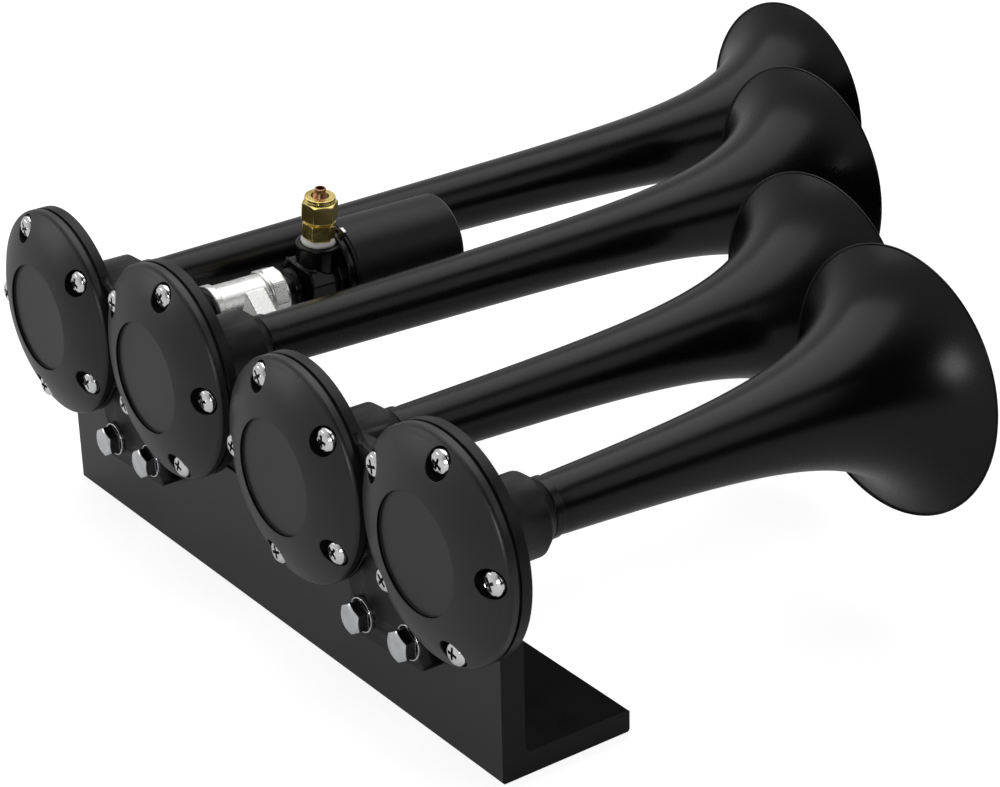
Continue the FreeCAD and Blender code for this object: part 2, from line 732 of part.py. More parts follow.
def cover_screw_holes(body, horn, radius):
    """Circles for a cover's screws, in the housing's tilted frame."""
    spots = []
    for angle in screw_angles(horn):
        spots.append((at.screw_circle * cosine(angle), at.screw_circle * sine(angle), radius))
    return circles(body, "XZ_Plane", spots)


def place_on_horn(body, horn, y):
    x, z = horn_axis(horn)
    return place(body, x, y, z, tilted(side_of(horn)))


def front_cover(horn):
    """A dome with a flat sunk crown, hollow behind, and five counterbores for its screws."""
    body = new_body(f"front_cover_{horn}")
    height = at.crown_height + at.cover_edge
    shoulder = at.cap_radius - at.edge_round_width
    edge_top = height - at.edge_straight
    hollow_foot = at.crown_recess + at.cover_wall
    section = outline(
        body,
        "XY_Plane",
        [
            (0, at.crown_recess),
            (at.crown_radius, at.crown_recess),
            (at.crown_radius, 0, at.dome_round, -1),
            (shoulder, edge_top - at.edge_round_drop, at.edge_round, -1),
            (at.cap_radius, edge_top),
            (at.cap_radius, height),
            (at.land_radius, height),
            (at.land_radius, hollow_foot + at.hollow_drop),
            (at.crown_radius, hollow_foot),
            (0, hollow_foot),
        ],
    )
    feature(body, "Revolution", section)
    seat = height - at.counterbore_floor
    cut_back(body, cover_screw_holes(body, horn, at.counterbore_radius), seat)
    cut_back(body, cover_screw_holes(body, horn, at.screw_radius + at.screw_hole_ease), height)
    return place_on_horn(body, horn, Places.cover_front)


def diaphragm(horn):
    """A thin steel disc, clamped round its edge by the five screws."""
    body = new_body(f"diaphragm_{horn}")
    disc = circles(body, "XZ_Plane", [(0, 0, at.cap_radius - at.seam_inset)])
    pad_back(body, disc, at.diaphragm_wall)
    cut_back(body, cover_screw_holes(body, horn, at.screw_radius + at.screw_hole_ease), at.diaphragm_wall)
    return place_on_horn(body, horn, Places.cover_back)


def gasket(horn):
    """A flat ring between diaphragm and housing, open over the air chamber."""
    body = new_body(f"gasket_{horn}")
    ring = circles(
        body, "XZ_Plane", [(0, 0, at.cap_radius - at.seam_inset), (0, 0, at.land_radius)]
    )
    pad_back(body, ring, at.gasket_wall)
    cut_back(body, cover_screw_holes(body, horn, at.screw_radius + at.screw_hole_ease), at.gasket_wall)
    return place_on_horn(body, horn, Places.diaphragm_back)


def cover_screws():
    """Twenty pan head screws, one drawn and turned, the rest copied to their holes."""
    pattern = new_body("screw_pattern")
    grip = at.counterbore_floor + at.diaphragm_wall + at.gasket_wall + at.plate_wall
    section = outline(
        pattern,
        "XY_Plane",
        [
            (0, 0),
            (at.screw_head_flat, 0, at.screw_head_radius, -1),
            (at.screw_head_radius, at.screw_head_height - at.screw_head_rim),
            (at.screw_head_radius, at.screw_head_height),
            (at.screw_radius, at.screw_head_height),
            (at.screw_radius, at.screw_head_height + grip),
            (0, at.screw_head_height + grip),
        ],
    )
    feature(pattern, "Revolution", section)
    spots = []
    for horn in HORNS:
        middle = -Places.half_pitch if horn in (1, 3) else Places.half_pitch
        for angle in screw_angles(horn):
            across = middle + at.screw_circle * cosine(angle)
            x, z = in_housing(side_of(horn), across, at.screw_circle * sine(angle))
            spots.append((x, Places.screw_seat - at.screw_head_height, z))
    return group("cover_screws", copies(pattern, spots))


# Lug hardware


def lug_spots(y):
    spots = []
    for side in (-1, 1):
        for half in (-1, 1):
            x, z = in_housing(side, half * at.lug_bolt_spacing / 2, -at.lug_bolt_drop)
            spots.append((x, y, z))
    return spots


def hexagon(body, flats, plane="XZ_Plane", first=CORNER_UP, lift=0):
    """A hexagon given by its width across flats and the angle of its first corner."""
    radius = as_size(flats) * CORNER_PER_FLAT
    angles = [as_size(first) + 60 * turn for turn in range(6)]
    return outline(body, plane, [(radius * cosine(angle), radius * sine(angle)) for angle in angles], lift)


def lug_bolts():
    """Four hex head bolts through lug and leg; a shallow cone bevels each head's corners."""
    pattern = new_body("bolt_pattern")
    pad_back(pattern, hexagon(pattern, at.bolt_flats), at.bolt_head_height)
    reach = Places.leg_back - Places.lug_face + at.washer_wall * 2 + at.nut_height + at.bolt_end
    shank = circles(pattern, "XZ_Plane", [(0, 0, at.bolt_radius)])
    pad_back(pattern, shank, at.bolt_head_height + reach)
    rim = at.bolt_flats * CORNER_PER_FLAT + at.cutter_margin
    face = at.bolt_face_radius
    bevel = outline(pattern, "XY_Plane", [(face, 0), (rim, 0), (rim, (rim - face) * at.bolt_bevel_slope)])
    feature(pattern, "Groove", bevel)
    front = Places.lug_face - at.washer_wall - at.bolt_head_height
    return group("lug_bolts", copies(pattern, lug_spots(front)))


def washer_group(label, y):
    pattern = new_body(label + "_pattern")
    ring = circles(
        pattern,
        "XZ_Plane",
        [(0, 0, at.washer_radius), (0, 0, at.bolt_radius + at.thread_ease)],
    )
    pad_back(pattern, ring, at.washer_wall)
    return group(label, copies(pattern, lug_spots(y)))


def lug_nuts():
    """Four hex nuts behind the leg."""
    pattern = new_body("nut_pattern")
    pad_back(pattern, hexagon(pattern, at.bolt_flats), at.nut_height)
    bore = circles(pattern, "XZ_Plane", [(0, 0, at.bolt_radius + at.thread_ease)])
    cut_back(pattern, bore, at.nut_height)
    return group("lug_nuts", copies(pattern, lug_spots(Places.leg_back + at.washer_wall)))


# Trumpets


def trumpet_radius(back, reach, cone):
    """Outer radius at a distance back from the mouth.

    A cone from tube_radius at the hub to cone at the mouth, and on it the bell, which falls off in two
    exponential steps: r = tube + (cone - tube)(1 - back/reach)
                           + (bell - cone)(f exp(-back/slow) + (1 - f) exp(-back/quick)).
    """
    tube, bell, share = at.tube_radius.number, at.bell_radius.number, at.bell_flare.number
    slow = math.exp(-back / at.slow_flare.number)
    quick = math.exp(-back / at.quick_flare.number)
    along = tube + (cone - tube) * (1 - back / reach)
    return along + (bell - cone) * (share * slow + (1 - share) * quick)


def trumpet_slope(back, reach, cone):
    """How fast that radius grows towards the mouth, which is the formula's derivative."""
    share, slow, quick = at.bell_flare.number, at.slow_flare.number, at.quick_flare.number
    opening = share / slow * math.exp(-back / slow) + (1 - share) / quick * math.exp(-back / quick)
    return (cone - at.tube_radius.number) / reach + (at.bell_radius.number - cone) * opening


def arc_leaving(start, end, way):
    """The arc from start to end that leaves start along a direction."""
    chord = end - start
    along = way.dot(chord) / chord.Length
    aside = way - chord * (along / chord.Length)
    middle = (start + end) * 0.5 + aside * (chord.Length / (2 + 2 * along))
    return Part.Arc(start, middle, end).toShape()


def smooth_arcs(start, end, start_way, end_way):
    """Two arcs that run from start to end, keep both directions and meet smoothly."""
    chord = end - start
    along = chord.dot(start_way + end_way)
    turn = 2 * (1 - start_way.dot(end_way))
    handle = (math.sqrt(along * along + turn * chord.dot(chord)) - along) / turn
    joint = (start + end + (start_way - end_way) * handle) * 0.5
    return [arc_leaving(start, joint, start_way), arc_leaving(end, joint, -end_way)]


def flare_arcs(reach, cone, foot):
    """The flare from the collar at foot to the mouth: smooth arcs through points of the formula."""
    backs = [reach * (step / FLARE_SPANS) ** FLARE_CROWDING for step in range(FLARE_SPANS, -1, -1)]
    points = [Vector(trumpet_radius(back, reach, cone), foot + reach - back, 0) for back in backs]
    ways = [Vector(trumpet_slope(back, reach, cone), 1, 0).normalize() for back in backs]
    arcs = []
    for start, end, start_way, end_way in zip(points, points[1:], ways, ways[1:]):
        arcs += smooth_arcs(start, end, start_way, end_way)
    return arcs, points[0], points[-1]


def collar_edges(hub_end, collar_end):
    """The collar's front face, rounded edges and outer face, from the spigot outwards."""
    soft = at.collar_round.number
    radius = at.collar_radius.number
    inner = radius - soft
    bottom = Vector(inner, hub_end, 0)
    low = Vector(radius, hub_end + soft, 0)
    high = Vector(radius, collar_end - soft, 0)
    top = Vector(inner, collar_end, 0)
    edges = [
        arc_leaving(bottom, low, Vector(1, 0, 0)),
        Part.LineSegment(low, high).toShape(),
        arc_leaving(high, top, Vector(0, 1, 0)),
    ]
    return edges, bottom, top


def trumpet(horn):
    """Spigot, collar, conical tube and flared bell in one moulding, turned about Y.

    The bell follows a formula, which a constrained sketch can't hold, so the section is built here.
    """
    collar_end = at.spigot_length.number + at.collar_length.number
    reach = getattr(at, f"reach_{horn}").number - at.collar_length.number
    cone = getattr(at, f"cone_{horn}").number
    spigot = at.spigot_radius.number
    outside, tube_foot, lip = flare_arcs(reach, cone, collar_end)
    inward = Vector(-at.trumpet_wall.number, 0, 0)
    bore_foot = tube_foot + inward
    collar, collar_foot, collar_top = collar_edges(at.spigot_length.number, collar_end)
    corners = [
        bore_foot,
        Vector(bore_foot.x, 0, 0),
        Vector(spigot, 0, 0),
        Vector(spigot, at.spigot_length.number, 0),
        collar_foot,
    ]
    edges = [Part.LineSegment(start, end).toShape() for start, end in zip(corners, corners[1:])]
    edges += collar + [Part.LineSegment(collar_top, tube_foot).toShape()] + outside
    edges.append(Part.LineSegment(lip, lip + inward).toShape())
    edges += [arc.translated(inward) for arc in outside]
    section = Part.Face(Part.Wire(Part.__sortEdges__(edges)))
    item = doc.addObject("Part::Feature", f"trumpet_{horn}")
    item.Label = f"trumpet_{horn}"
    item.Shape = section.revolve(Vector(0, 0, 0), Vector(0, 1, 0), 360)
    x, z = horn_axis(horn)
    return place(item, x, Places.hub_end - at.spigot_length, z)


# Air line: nipples, tee, elbow and cross pipe


def branch_turn(side):
    """The turn that lays a Z-long piece along the branch, out to one side and down."""
    return Rotation(Vector(0, 1, 0), side * (90 + at.branch_drop.number))


def along_branch(side, distance):
    """X and Z at a distance from the tee's centre (+1) or the elbow's centre (-1) along its slanted arm."""
    start_x, start_z = pair_middle(-side)
    return (
        start_x + side * distance * cosine(at.branch_drop),
        start_z - distance * sine(at.branch_drop),
    )


def inlet_nipple():
    """Male thread in the left port, hexagon, male thread in the tee."""
    x, z = pair_middle(-1)
    start = Places.port_face - at.port_depth
    whole = at.port_depth + at.inlet_reach + at.tee_seat
    outer = fuse(
        [
            cylinder(at.port_radius, whole, x, start, z),
            prism(6, at.nipple_flats, at.inlet_reach, x, Places.port_face, z),
        ]
    )
    bore = cylinder(at.nipple_bore, whole, x, start, z)
    return cut(outer, bore, "inlet_nipple")


def inlet_tee():
    """Plated tee: round band at the inlet, eight-sided bands at the valve and on the slanted branch."""
    x, z = pair_middle(-1)
    arm = at.tee_arm
    band = at.tee_band_length
    branch = branch_turn(1)
    band_x, band_z = along_branch(1, arm - band)
    outer = fuse(
        [
            cylinder(at.tee_radius, arm * 2, x, Places.tee_start, z),
            cylinder(at.tee_band_radius, at.tee_inlet_band, x, Places.tee_start, z),
            prism(8, at.tee_band_flats, band, x, Places.tee_end - band, z),
            cylinder(at.tee_radius, arm, x, Places.tee_centre, z, branch),
            prism(8, at.tee_band_flats, band, band_x, Places.tee_centre, band_z, branch),
        ]
    )
    pipe_x, pipe_z = along_branch(1, arm - at.pipe_seat)
    thread = at.port_radius + at.thread_ease
    ways = fuse(
        [
            cylinder(thread, arm * 2, x, Places.tee_start, z),
            cylinder(at.nipple_bore, arm, x, Places.tee_centre, z, branch),
            cylinder(at.pipe_radius + at.thread_ease, at.pipe_seat, pipe_x, Places.tee_centre, pipe_z, branch),
        ]
    )
    return cut(outer, ways, "inlet_tee")


def valve_nipple():
    """Short nipple from the tee into the valve body, with the thin ring that shows between them."""
    x, z = pair_middle(-1)
    start = Places.tee_end - at.tee_seat
    ring_start = Places.tee_end + (at.valve_reach - at.valve_ring_length) / 2
    length = at.tee_seat + at.valve_reach + at.valve_seat
    outer = fuse(
        [
            cylinder(at.port_radius, length, x, start, z),
            cylinder(at.valve_ring_radius, at.valve_ring_length, x, ring_start, z),
        ]
    )
    return cut(outer, cylinder(at.nipple_bore, length, x, start, z), "valve_nipple")


def port_elbow():
    """Elbow on the right housing's port: male thread, round body, arm slanted down towards the tee."""
    x, z = pair_middle(1)
    start = Places.port_face - at.port_depth
    back = Places.elbow_centre + at.elbow_radius
    arm = branch_turn(-1)
    outer = fuse(
        [
            cylinder(at.port_radius, at.port_depth + at.elbow_reach, x, start, z),
            cylinder(at.elbow_radius, back - Places.port_face, x, Places.port_face, z),
            cylinder(at.elbow_radius, at.elbow_arm, x, Places.elbow_centre, z, arm),
        ]
    )
    seat_x, seat_z = along_branch(-1, at.elbow_arm - at.pipe_seat)
    ways = fuse(
        [
            cylinder(at.nipple_bore, at.port_depth + at.elbow_reach, x, start, z),
            cylinder(at.nipple_bore, at.elbow_arm, x, Places.elbow_centre, z, arm),
            cylinder(at.pipe_radius + at.thread_ease, at.pipe_seat, seat_x, Places.elbow_centre, seat_z, arm),
        ]
    )
    return cut(outer, ways, "port_elbow")


def pipe_route():
    """Ends and corners of the cross pipe: down from the tee, level under two trumpets, up to the elbow."""
    to_corner = at.pipe_drop / sine(at.branch_drop)
    stops = [
        (along_branch(1, at.tee_arm - at.pipe_seat), Places.tee_centre),
        (along_branch(1, to_corner), Places.tee_centre),
        (along_branch(-1, to_corner), Places.elbow_centre),
        (along_branch(-1, at.elbow_arm - at.pipe_seat), Places.elbow_centre),
    ]
    return [Vector(x.number, y.number, z.number) for (x, z), y in stops]


def bent_wire(points, radius):
    """Straight runs joined by tangent arcs of one radius at the inner points."""
    edges = []
    last = points[0]
    for before, corner, after in zip(points, points[1:], points[2:]):
        come = (corner - before).normalize()
        go = (after - corner).normalize()
        half_turn = come.getAngle(go) / 2
        setback = radius * math.tan(half_turn)
        start = corner - come * setback
        end = corner + go * setback
        inward = (go - come).normalize()
        middle = corner + inward * (radius / math.cos(half_turn) - radius)
        edges.append(Part.LineSegment(last, start).toShape())
        edges.append(Part.Arc(start, middle, end).toShape())
        last = end
    edges.append(Part.LineSegment(last, points[-1]).toShape())
    return Part.Wire(edges)


def pipe_along(wire, radius):
    """A round solid along a wire."""
    first = wire.OrderedEdges[0]
    direction = first.tangentAt(first.FirstParameter)
    start = wire.OrderedVertexes[0].Point
    ring = Part.Wire([Part.Circle(start, direction, radius).toShape()])
    return wire.makePipeShell([ring], True, False)


def cross_pipe():
    """Formed pipe that feeds the right housing; its route is bent wire, which no body feature draws."""
    wire = bent_wire(pipe_route(), at.pipe_bend.number)
    outer = pipe_along(wire, at.pipe_radius.number)
    inner = pipe_along(wire, at.pipe_radius.number - at.pipe_wall.number)
    item = doc.addObject("Part::Feature", "cross_pipe")
    item.Label = "cross_pipe"
    item.Shape = outer.cut(inner)
    return item


def pipe_nut(label, side, distance, y):
    """Nut on the cross pipe, against the end of the arm that holds it."""
    x, z = along_branch(side, distance)
    turn = branch_turn(side)
    nut = prism(6, at.pipe_nut_flats, at.pipe_nut_length, x, y, z, turn)
    bore = cylinder(at.pipe_radius + at.thread_ease, at.pipe_nut_length, x, y, z, turn)
    return cut(nut, bore, label)


# Valve and coil


def place_on_valve(body, y, up):
    """Put a piece at a height above the tee's axis, with the valve's own turn."""
    x, z = on_valve(up)
    return place(body, x, y, z, valve_upright())


def is_level_circle(edge, height):
    """Whether an edge is a full circle that lies flat at this height."""
    return isinstance(edge.Curve, Part.Circle) and abs(edge.CenterOfMass.z - height) < 1e-4


def valve_body():
    """Bevelled block with an upright port boss, bored for the nipple, the fitting and the armature."""
    body = new_body("valve_body")
    half = at.body_width / 2
    bevel = at.body_bevel
    drop = at.body_bevel_drop
    top = at.body_top
    low = -at.body_bottom
    section = outline(
        body,
        "XZ_Plane",
        [
            (bevel - half, low),
            (half - bevel, low),
            (half, low + drop),
            (half, top - drop),
            (half - bevel, top),
            (bevel - half, top),
            (-half, top - drop),
            (-half, low + drop),
        ],
    )
    pad_back(body, section, at.body_length)
    neck_start = at.body_length - at.neck_length
    neck = circles(body, "XZ_Plane", [(0, at.coil_rise, at.neck_radius)], -neck_start)
    pad_back(body, neck, at.neck_length)
    boss = circles(body, "XY_Plane", [(0, at.boss_offset, at.boss_radius)])
    tower = feature(body, "Pad", boss, at.boss_top)
    rim = edges_where(tower.Shape, lambda edge: is_level_circle(edge, at.boss_top.number))
    chamfer = body.newObject("PartDesign::Chamfer", "Chamfer")
    chamfer.Base = (tower, rim)
    chamfer.setExpression("Size", at.boss_edge.formula)
    doc.recompute()
    port = circles(body, "XZ_Plane", [(0, 0, at.port_radius + at.thread_ease)])
    cut_back(body, port, at.valve_seat)
    before = body.Shape.Volume
    thread = at.port_radius + at.tape_wall
    port = circles(body, "XY_Plane", [(0, at.boss_offset, thread)], at.boss_top)
    feature(body, "Pocket", port, Places.port_length)
    if body.Shape.Volume >= before:
        raise RuntimeError("the upright port cuts nothing")
    socket_floor = at.body_length - at.armature_seat
    socket_radius = at.armature_radius + at.thread_ease
    socket = circles(body, "XZ_Plane", [(0, at.coil_rise, socket_radius)], -socket_floor)
    cut_back(body, socket, at.armature_seat)
    outlet = circles(body, "XZ_Plane", [(0, 0, at.outlet_way_radius)], -at.valve_seat)
    cut_back(body, outlet, socket_floor - at.valve_seat)
    feed = circles(body, "XZ_Plane", [(0, at.feed_way_rise, at.feed_way_radius)], -at.boss_offset)
    cut_back(body, feed, socket_floor - at.boss_offset)
    return place_on_valve(body, Places.body_start, as_size(0))


def coil_plate():
    """Round steel plate between valve body and coil, with a small tab on its top edge."""
    body = new_body("coil_plate")
    pad_back(body, circles(body, "XZ_Plane", [(0, 0, at.plate_radius)]), at.plate_thickness)
    half = at.tab_width / 2
    top = at.plate_radius + at.tab_height
    tab = outline(body, "XZ_Plane", [(-half, 0), (half, 0), (half, top), (-half, top)])
    pad_back(body, tab, at.plate_thickness)
    bore = circles(body, "XZ_Plane", [(0, 0, at.armature_radius + at.thread_ease)])
    cut_back(body, bore, at.plate_thickness)
    return place_on_valve(body, Places.body_end, at.coil_rise)


def coil_housing():
    """Potted coil: a round can with a rounded rear edge and a bore for the armature tube."""
    body = new_body("coil_housing")
    bore = at.armature_radius + at.thread_ease
    outer = at.coil_radius
    soft = at.coil_round
    edge = at.edge_break
    section = outline(
        body,
        "XY_Plane",
        [
            (bore, 0),
            (outer - edge, 0),
            (outer, edge),
            (outer, at.coil_length - soft, soft, -1),
            (outer - soft, at.coil_length),
            (bore, at.coil_length),
        ],
    )
    feature(body, "Revolution", section)
    return place_on_valve(body, Places.coil_start, at.coil_rise)


def armature_tube():
    """Closed steel tube that guides the plunger and carries the coil's nut."""
    body = new_body("armature_tube")
    length = at.armature_seat + at.plate_thickness + at.coil_length + at.coil_nut_height
    inner = at.armature_radius - at.armature_wall
    stop = length - at.coil_nut_height
    section = outline(
        body,
        "XY_Plane",
        [
            (inner, 0),
            (at.armature_radius, 0),
            (at.armature_radius, length),
            (0, length),
            (0, stop),
            (inner, stop),
        ],
    )
    feature(body, "Revolution", section)
    return place_on_valve(body, Places.body_end - at.armature_seat, at.coil_rise)


def plunger():
    """Steel plunger, resting on the valve seat."""
    body = new_body("plunger")
    radius = at.armature_radius - at.armature_wall - at.plunger_ease
    pad_back(body, circles(body, "XZ_Plane", [(0, 0, radius)]), at.plunger_length)
    return place_on_valve(body, Places.body_end - at.armature_seat, at.coil_rise)


def return_spring():
    """Coil spring between the plunger and the closed end of its tube, its wire drawn six-sided."""
    wire = at.spring_wire.number
    middle = at.spring_radius.number
    start = Places.body_end - at.armature_seat + at.plunger_length
    room = Places.coil_end - start
    height = room.number - 2 * wire
    helix = Part.makeHelix(height / at.spring_turns.number, height, middle)
    corners = []
    for turn in range(7):
        angle = math.radians(60 * turn)
        corners.append(Vector(middle + wire * math.cos(angle), 0, wire * math.sin(angle)))
    item = doc.addObject("Part::Feature", "return_spring")
    item.Label = "return_spring"
    item.Shape = Part.Wire(helix).makePipeShell([Part.makePolygon(corners)], True, True)
    x, z = on_valve(at.coil_rise)
    return place(item, x, start + at.spring_wire, z, ALONG_Y)


def coil_nut():
    """Hex nut on the armature tube's end, behind the coil."""
    body = new_body("coil_nut")
    pad_back(body, hexagon(body, at.coil_nut_flats), at.coil_nut_height)
    bore = circles(body, "XZ_Plane", [(0, 0, at.armature_radius + at.thread_ease)])
    cut_back(body, bore, at.coil_nut_height)
    return place_on_valve(body, Places.coil_end, at.coil_rise)


# Brass compression fitting, each piece drawn upright from its own base


def stack(body, up):
    """Put a piece of the fitting on the boss's axis, at a height above the tee's axis."""
    return place_on_valve(body, Places.boss_axis, up)


def ring(body, radius, lift, length, bore=None):
    """A round pad about the Z axis, or a ring where it has a bore."""
    rings = [(0, 0, radius)] if bore is None else [(0, 0, radius), (0, 0, bore)]
    return feature(body, "Pad", circles(body, "XY_Plane", rings, lift), length)


def bore(body, radius, top, depth):
    """A round pocket down from a height; the volume must fall."""
    before = body.Shape.Volume
    feature(body, "Pocket", circles(body, "XY_Plane", [(0, 0, radius)], top), depth)
    if body.Shape.Volume >= before:
        raise RuntimeError("a bore of " + body.Label + " cuts nothing")


def bevelled_hexagon(body, flats, first, base, height):
    """An upright hexagon whose corners are bevelled at both ends by shallow cones."""
    feature(body, "Pad", hexagon(body, flats, "XY_Plane", first, base), height)
    face = flats / 2
    rim = flats * CORNER_PER_FLAT + at.cutter_margin
    fall = (rim - face) * at.hex_bevel
    for end, turn in ((base, 1), (base + height, -1)):
        cone = outline(body, "XZ_Plane", [(face, end), (rim, end), (rim, end + turn * fall)])
        feature(body, "Groove", cone)


def fitting_body():
    """Male thread in the boss, bevelled hexagon, and the threaded neck that the nut pulls on."""
    body = new_body("fitting_body")
    thread = Places.port_length + at.tape_show
    neck = at.nut_gap + at.fitting_neck_height
    ring(body, at.port_radius, 0, thread)
    bevelled_hexagon(body, at.fitting_flats, at.fitting_turn, thread, at.fitting_hex_height)
    top = thread + at.fitting_hex_height + neck
    ring(body, at.fitting_neck_radius, thread + at.fitting_hex_height, neck)
    bore(body, at.fitting_bore, top, top)
    return stack(body, at.port_floor)


def thread_tape():
    """White tape wound on the fitting's thread; it bulges where it shows above the boss."""
    body = new_body("thread_tape")
    ring(body, at.port_radius + at.tape_wall, 0, Places.port_length, at.port_radius)
    ring(body, at.tape_bulge, Places.port_length, at.tape_show, at.port_radius)
    return stack(body, at.port_floor)


def fitting_nut():
    """Bevelled hexagon with a round top, hollow over the neck."""
    body = new_body("fitting_nut")
    bevelled_hexagon(body, at.nut_flats, at.nut_turn, as_size(0), at.nut_hex_height)
    ring(body, at.nut_cap_radius, at.nut_hex_height, at.nut_cap_height)
    bore(body, at.fitting_neck_radius + at.thread_ease, at.nut_hex_height, at.nut_hex_height)
    top = at.nut_hex_height + at.nut_cap_height
    bore(body, at.nut_cap_bore, top, at.nut_cap_height)
    return stack(body, Places.nut_base)


def fitting_ferrule():
    """Brass ring that the nut presses on the neck."""
    body = new_body("fitting_ferrule")
    height = at.nut_hex_height - at.fitting_neck_height
    ring(body, at.fitting_neck_radius - at.thread_ease, 0, height, at.insert_radius)
    return stack(body, Places.ferrule_base)


def tube_insert():
    """Copper-coloured sleeve in the ferrule, tapered where it stands out of the nut."""
    body = new_body("tube_insert")
    straight = Places.nut_top - Places.ferrule_base
    length = straight + at.insert_show
    section = outline(
        body,
        "XZ_Plane",
        [
            (at.insert_bore, 0),
            (at.insert_radius, 0),
            (at.insert_radius, straight),
            (at.insert_tip, length - at.insert_land),
            (at.insert_tip, length),
            (at.insert_bore, length),
        ],
    )
    feature(body, "Revolution", section)
    return stack(body, Places.ferrule_base)


# The whole part


def build_all():
    """Every sub-part, in the order in which the horn goes together."""
    parts = [bracket(), twin_housing("twin_housing_left", -1), twin_housing("twin_housing_right", 1)]
    for horn in HORNS:
        parts += [front_cover(horn), diaphragm(horn), gasket(horn), trumpet(horn)]
    parts += [cover_screws(), lug_bolts(), lug_nuts()]
    parts.append(washer_group("lug_washers", Places.lug_face - at.washer_wall))
    parts.append(washer_group("back_washers", Places.leg_back))
    parts += [inlet_nipple(), inlet_tee(), valve_nipple(), port_elbow(), cross_pipe()]
    parts.append(pipe_nut("pipe_nut_left", 1, at.tee_arm, Places.tee_centre))
    parts.append(pipe_nut("pipe_nut_right", -1, at.elbow_arm, Places.elbow_centre))
    parts += [valve_body(), coil_plate(), coil_housing(), armature_tube()]
    parts += [plunger(), return_spring(), coil_nut()]
    parts += [fitting_body(), thread_tape(), fitting_nut(), fitting_ferrule(), tube_insert()]
    return parts


def check(parts):
    """Stop if any object failed or any sub-part's shape isn't a valid solid."""
    for item in doc.Objects:
        if {"Invalid", "Error"} & set(item.State):
            raise RuntimeError(f"{item.Label} failed: {item.State}")
    for item in parts:
        shape = item.Shape
        if shape.isNull() or not shape.isValid() or not shape.Solids or shape.Volume <= 0:
            raise RuntimeError(item.Label + " has no valid solid")


def main():
    parts = build_all()
    doc.recompute()
    check(parts)
    os.makedirs("parts", exist_ok=True)
    for item in parts:
        item.Shape.exportStep(os.path.join("parts", item.Label + ".step"))
        print(f"{item.Label}: {len(item.Shape.Solids)} solid(s), {item.Shape.Volume:.0f} mm3")


main()
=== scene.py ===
# %% [markdown]
# # A car air horn with four trumpets
#
# Two cast twin housings stand on one angle bracket. Each housing holds two
# trumpets and, on its front, two domed covers that press the diaphragms. Air
# comes in by a brass fitting on a solenoid valve, whose coil lies between the
# two longest trumpets, and a pipe below takes the air to the second housing.
# The CAD solids are loaded as a fixed frame. We then dress them: round parts
# are worked out with numpy as smooth surfaces, because a CAD mesh is made of
# flat triangles, and a reflection on black gloss shows every one of them.

import bmesh
import bpy
import numpy as np
from mathutils import Matrix, Vector


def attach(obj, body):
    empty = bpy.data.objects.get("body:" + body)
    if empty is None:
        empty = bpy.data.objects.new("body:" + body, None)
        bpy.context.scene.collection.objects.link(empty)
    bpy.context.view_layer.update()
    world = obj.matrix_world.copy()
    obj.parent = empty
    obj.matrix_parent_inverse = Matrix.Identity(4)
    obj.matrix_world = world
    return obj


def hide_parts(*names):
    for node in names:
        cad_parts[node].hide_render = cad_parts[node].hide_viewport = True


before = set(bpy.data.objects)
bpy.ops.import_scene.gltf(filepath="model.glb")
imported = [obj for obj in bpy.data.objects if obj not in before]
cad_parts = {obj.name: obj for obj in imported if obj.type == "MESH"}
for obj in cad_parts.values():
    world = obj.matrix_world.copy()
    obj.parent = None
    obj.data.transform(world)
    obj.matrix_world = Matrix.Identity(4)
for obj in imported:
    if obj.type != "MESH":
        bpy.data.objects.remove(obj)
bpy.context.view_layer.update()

MM = 0.001

# %% [markdown]
# ## Where things are
#
# All sizes are in millimetres, as in the part's source: X runs along the
# bracket, Y back to the bells, Z up. Each housing is turned a little about Y,
# so a place here is a centre and three directions: across, up and along the
# axis. Every surface is first worked out in its own place and then put there.


# %% Places
def unit(v):
    """The vector divided by its length."""
    v = np.asarray(v, float)
    return v / np.linalg.norm(v)


def place(centre, axis=(0, 1, 0), across=(1, 0, 0)):
    """Centre, across, third and axis; third = across x axis, so up for an axis along Y."""
    axis, across = unit(axis), np.asarray(across, float)
    across = unit(across - axis * (across @ axis))
    return np.asarray(centre, float), across, np.cross(across, axis), axis


def put(where, a, b, h):
    """Point = centre + a across + b third + h axis, for whole arrays of a, b and h."""
    a, b, h = np.broadcast_arrays(a, b, h)
    centre, across, third, axis = where
    return centre + a[..., None] * across + b[..., None] * third + h[..., None] * axis


def tilted_place(x, z, degrees, across=0.0, up=0.0):
    """A place on an axis along Y, in a frame that is turned about Y by so many degrees."""
    t = np.radians(degrees)
    side = np.array([np.cos(t), 0, np.sin(t)])
    rise = np.array([-np.sin(t), 0, np.cos(t)])
    return place(np.array([x, 0, z]) + across * side + up * rise, (0, 1, 0), side)


# x and z of each housing's middle, and its turn in degrees
LEFT, RIGHT = (-100.0, 97.5, 3.0), (100.0, 96.5, 4.3)
LEFT_PORT, RIGHT_PORT = (LEFT[0], 0, LEFT[1]), (RIGHT[0], 0, RIGHT[1])
HALF_PITCH = 49.5
HORN = {
    1: tilted_place(*LEFT, -HALF_PITCH),
    2: tilted_place(*LEFT, HALF_PITCH),
    3: tilted_place(*RIGHT, -HALF_PITCH),
    4: tilted_place(*RIGHT, HALF_PITCH),
}

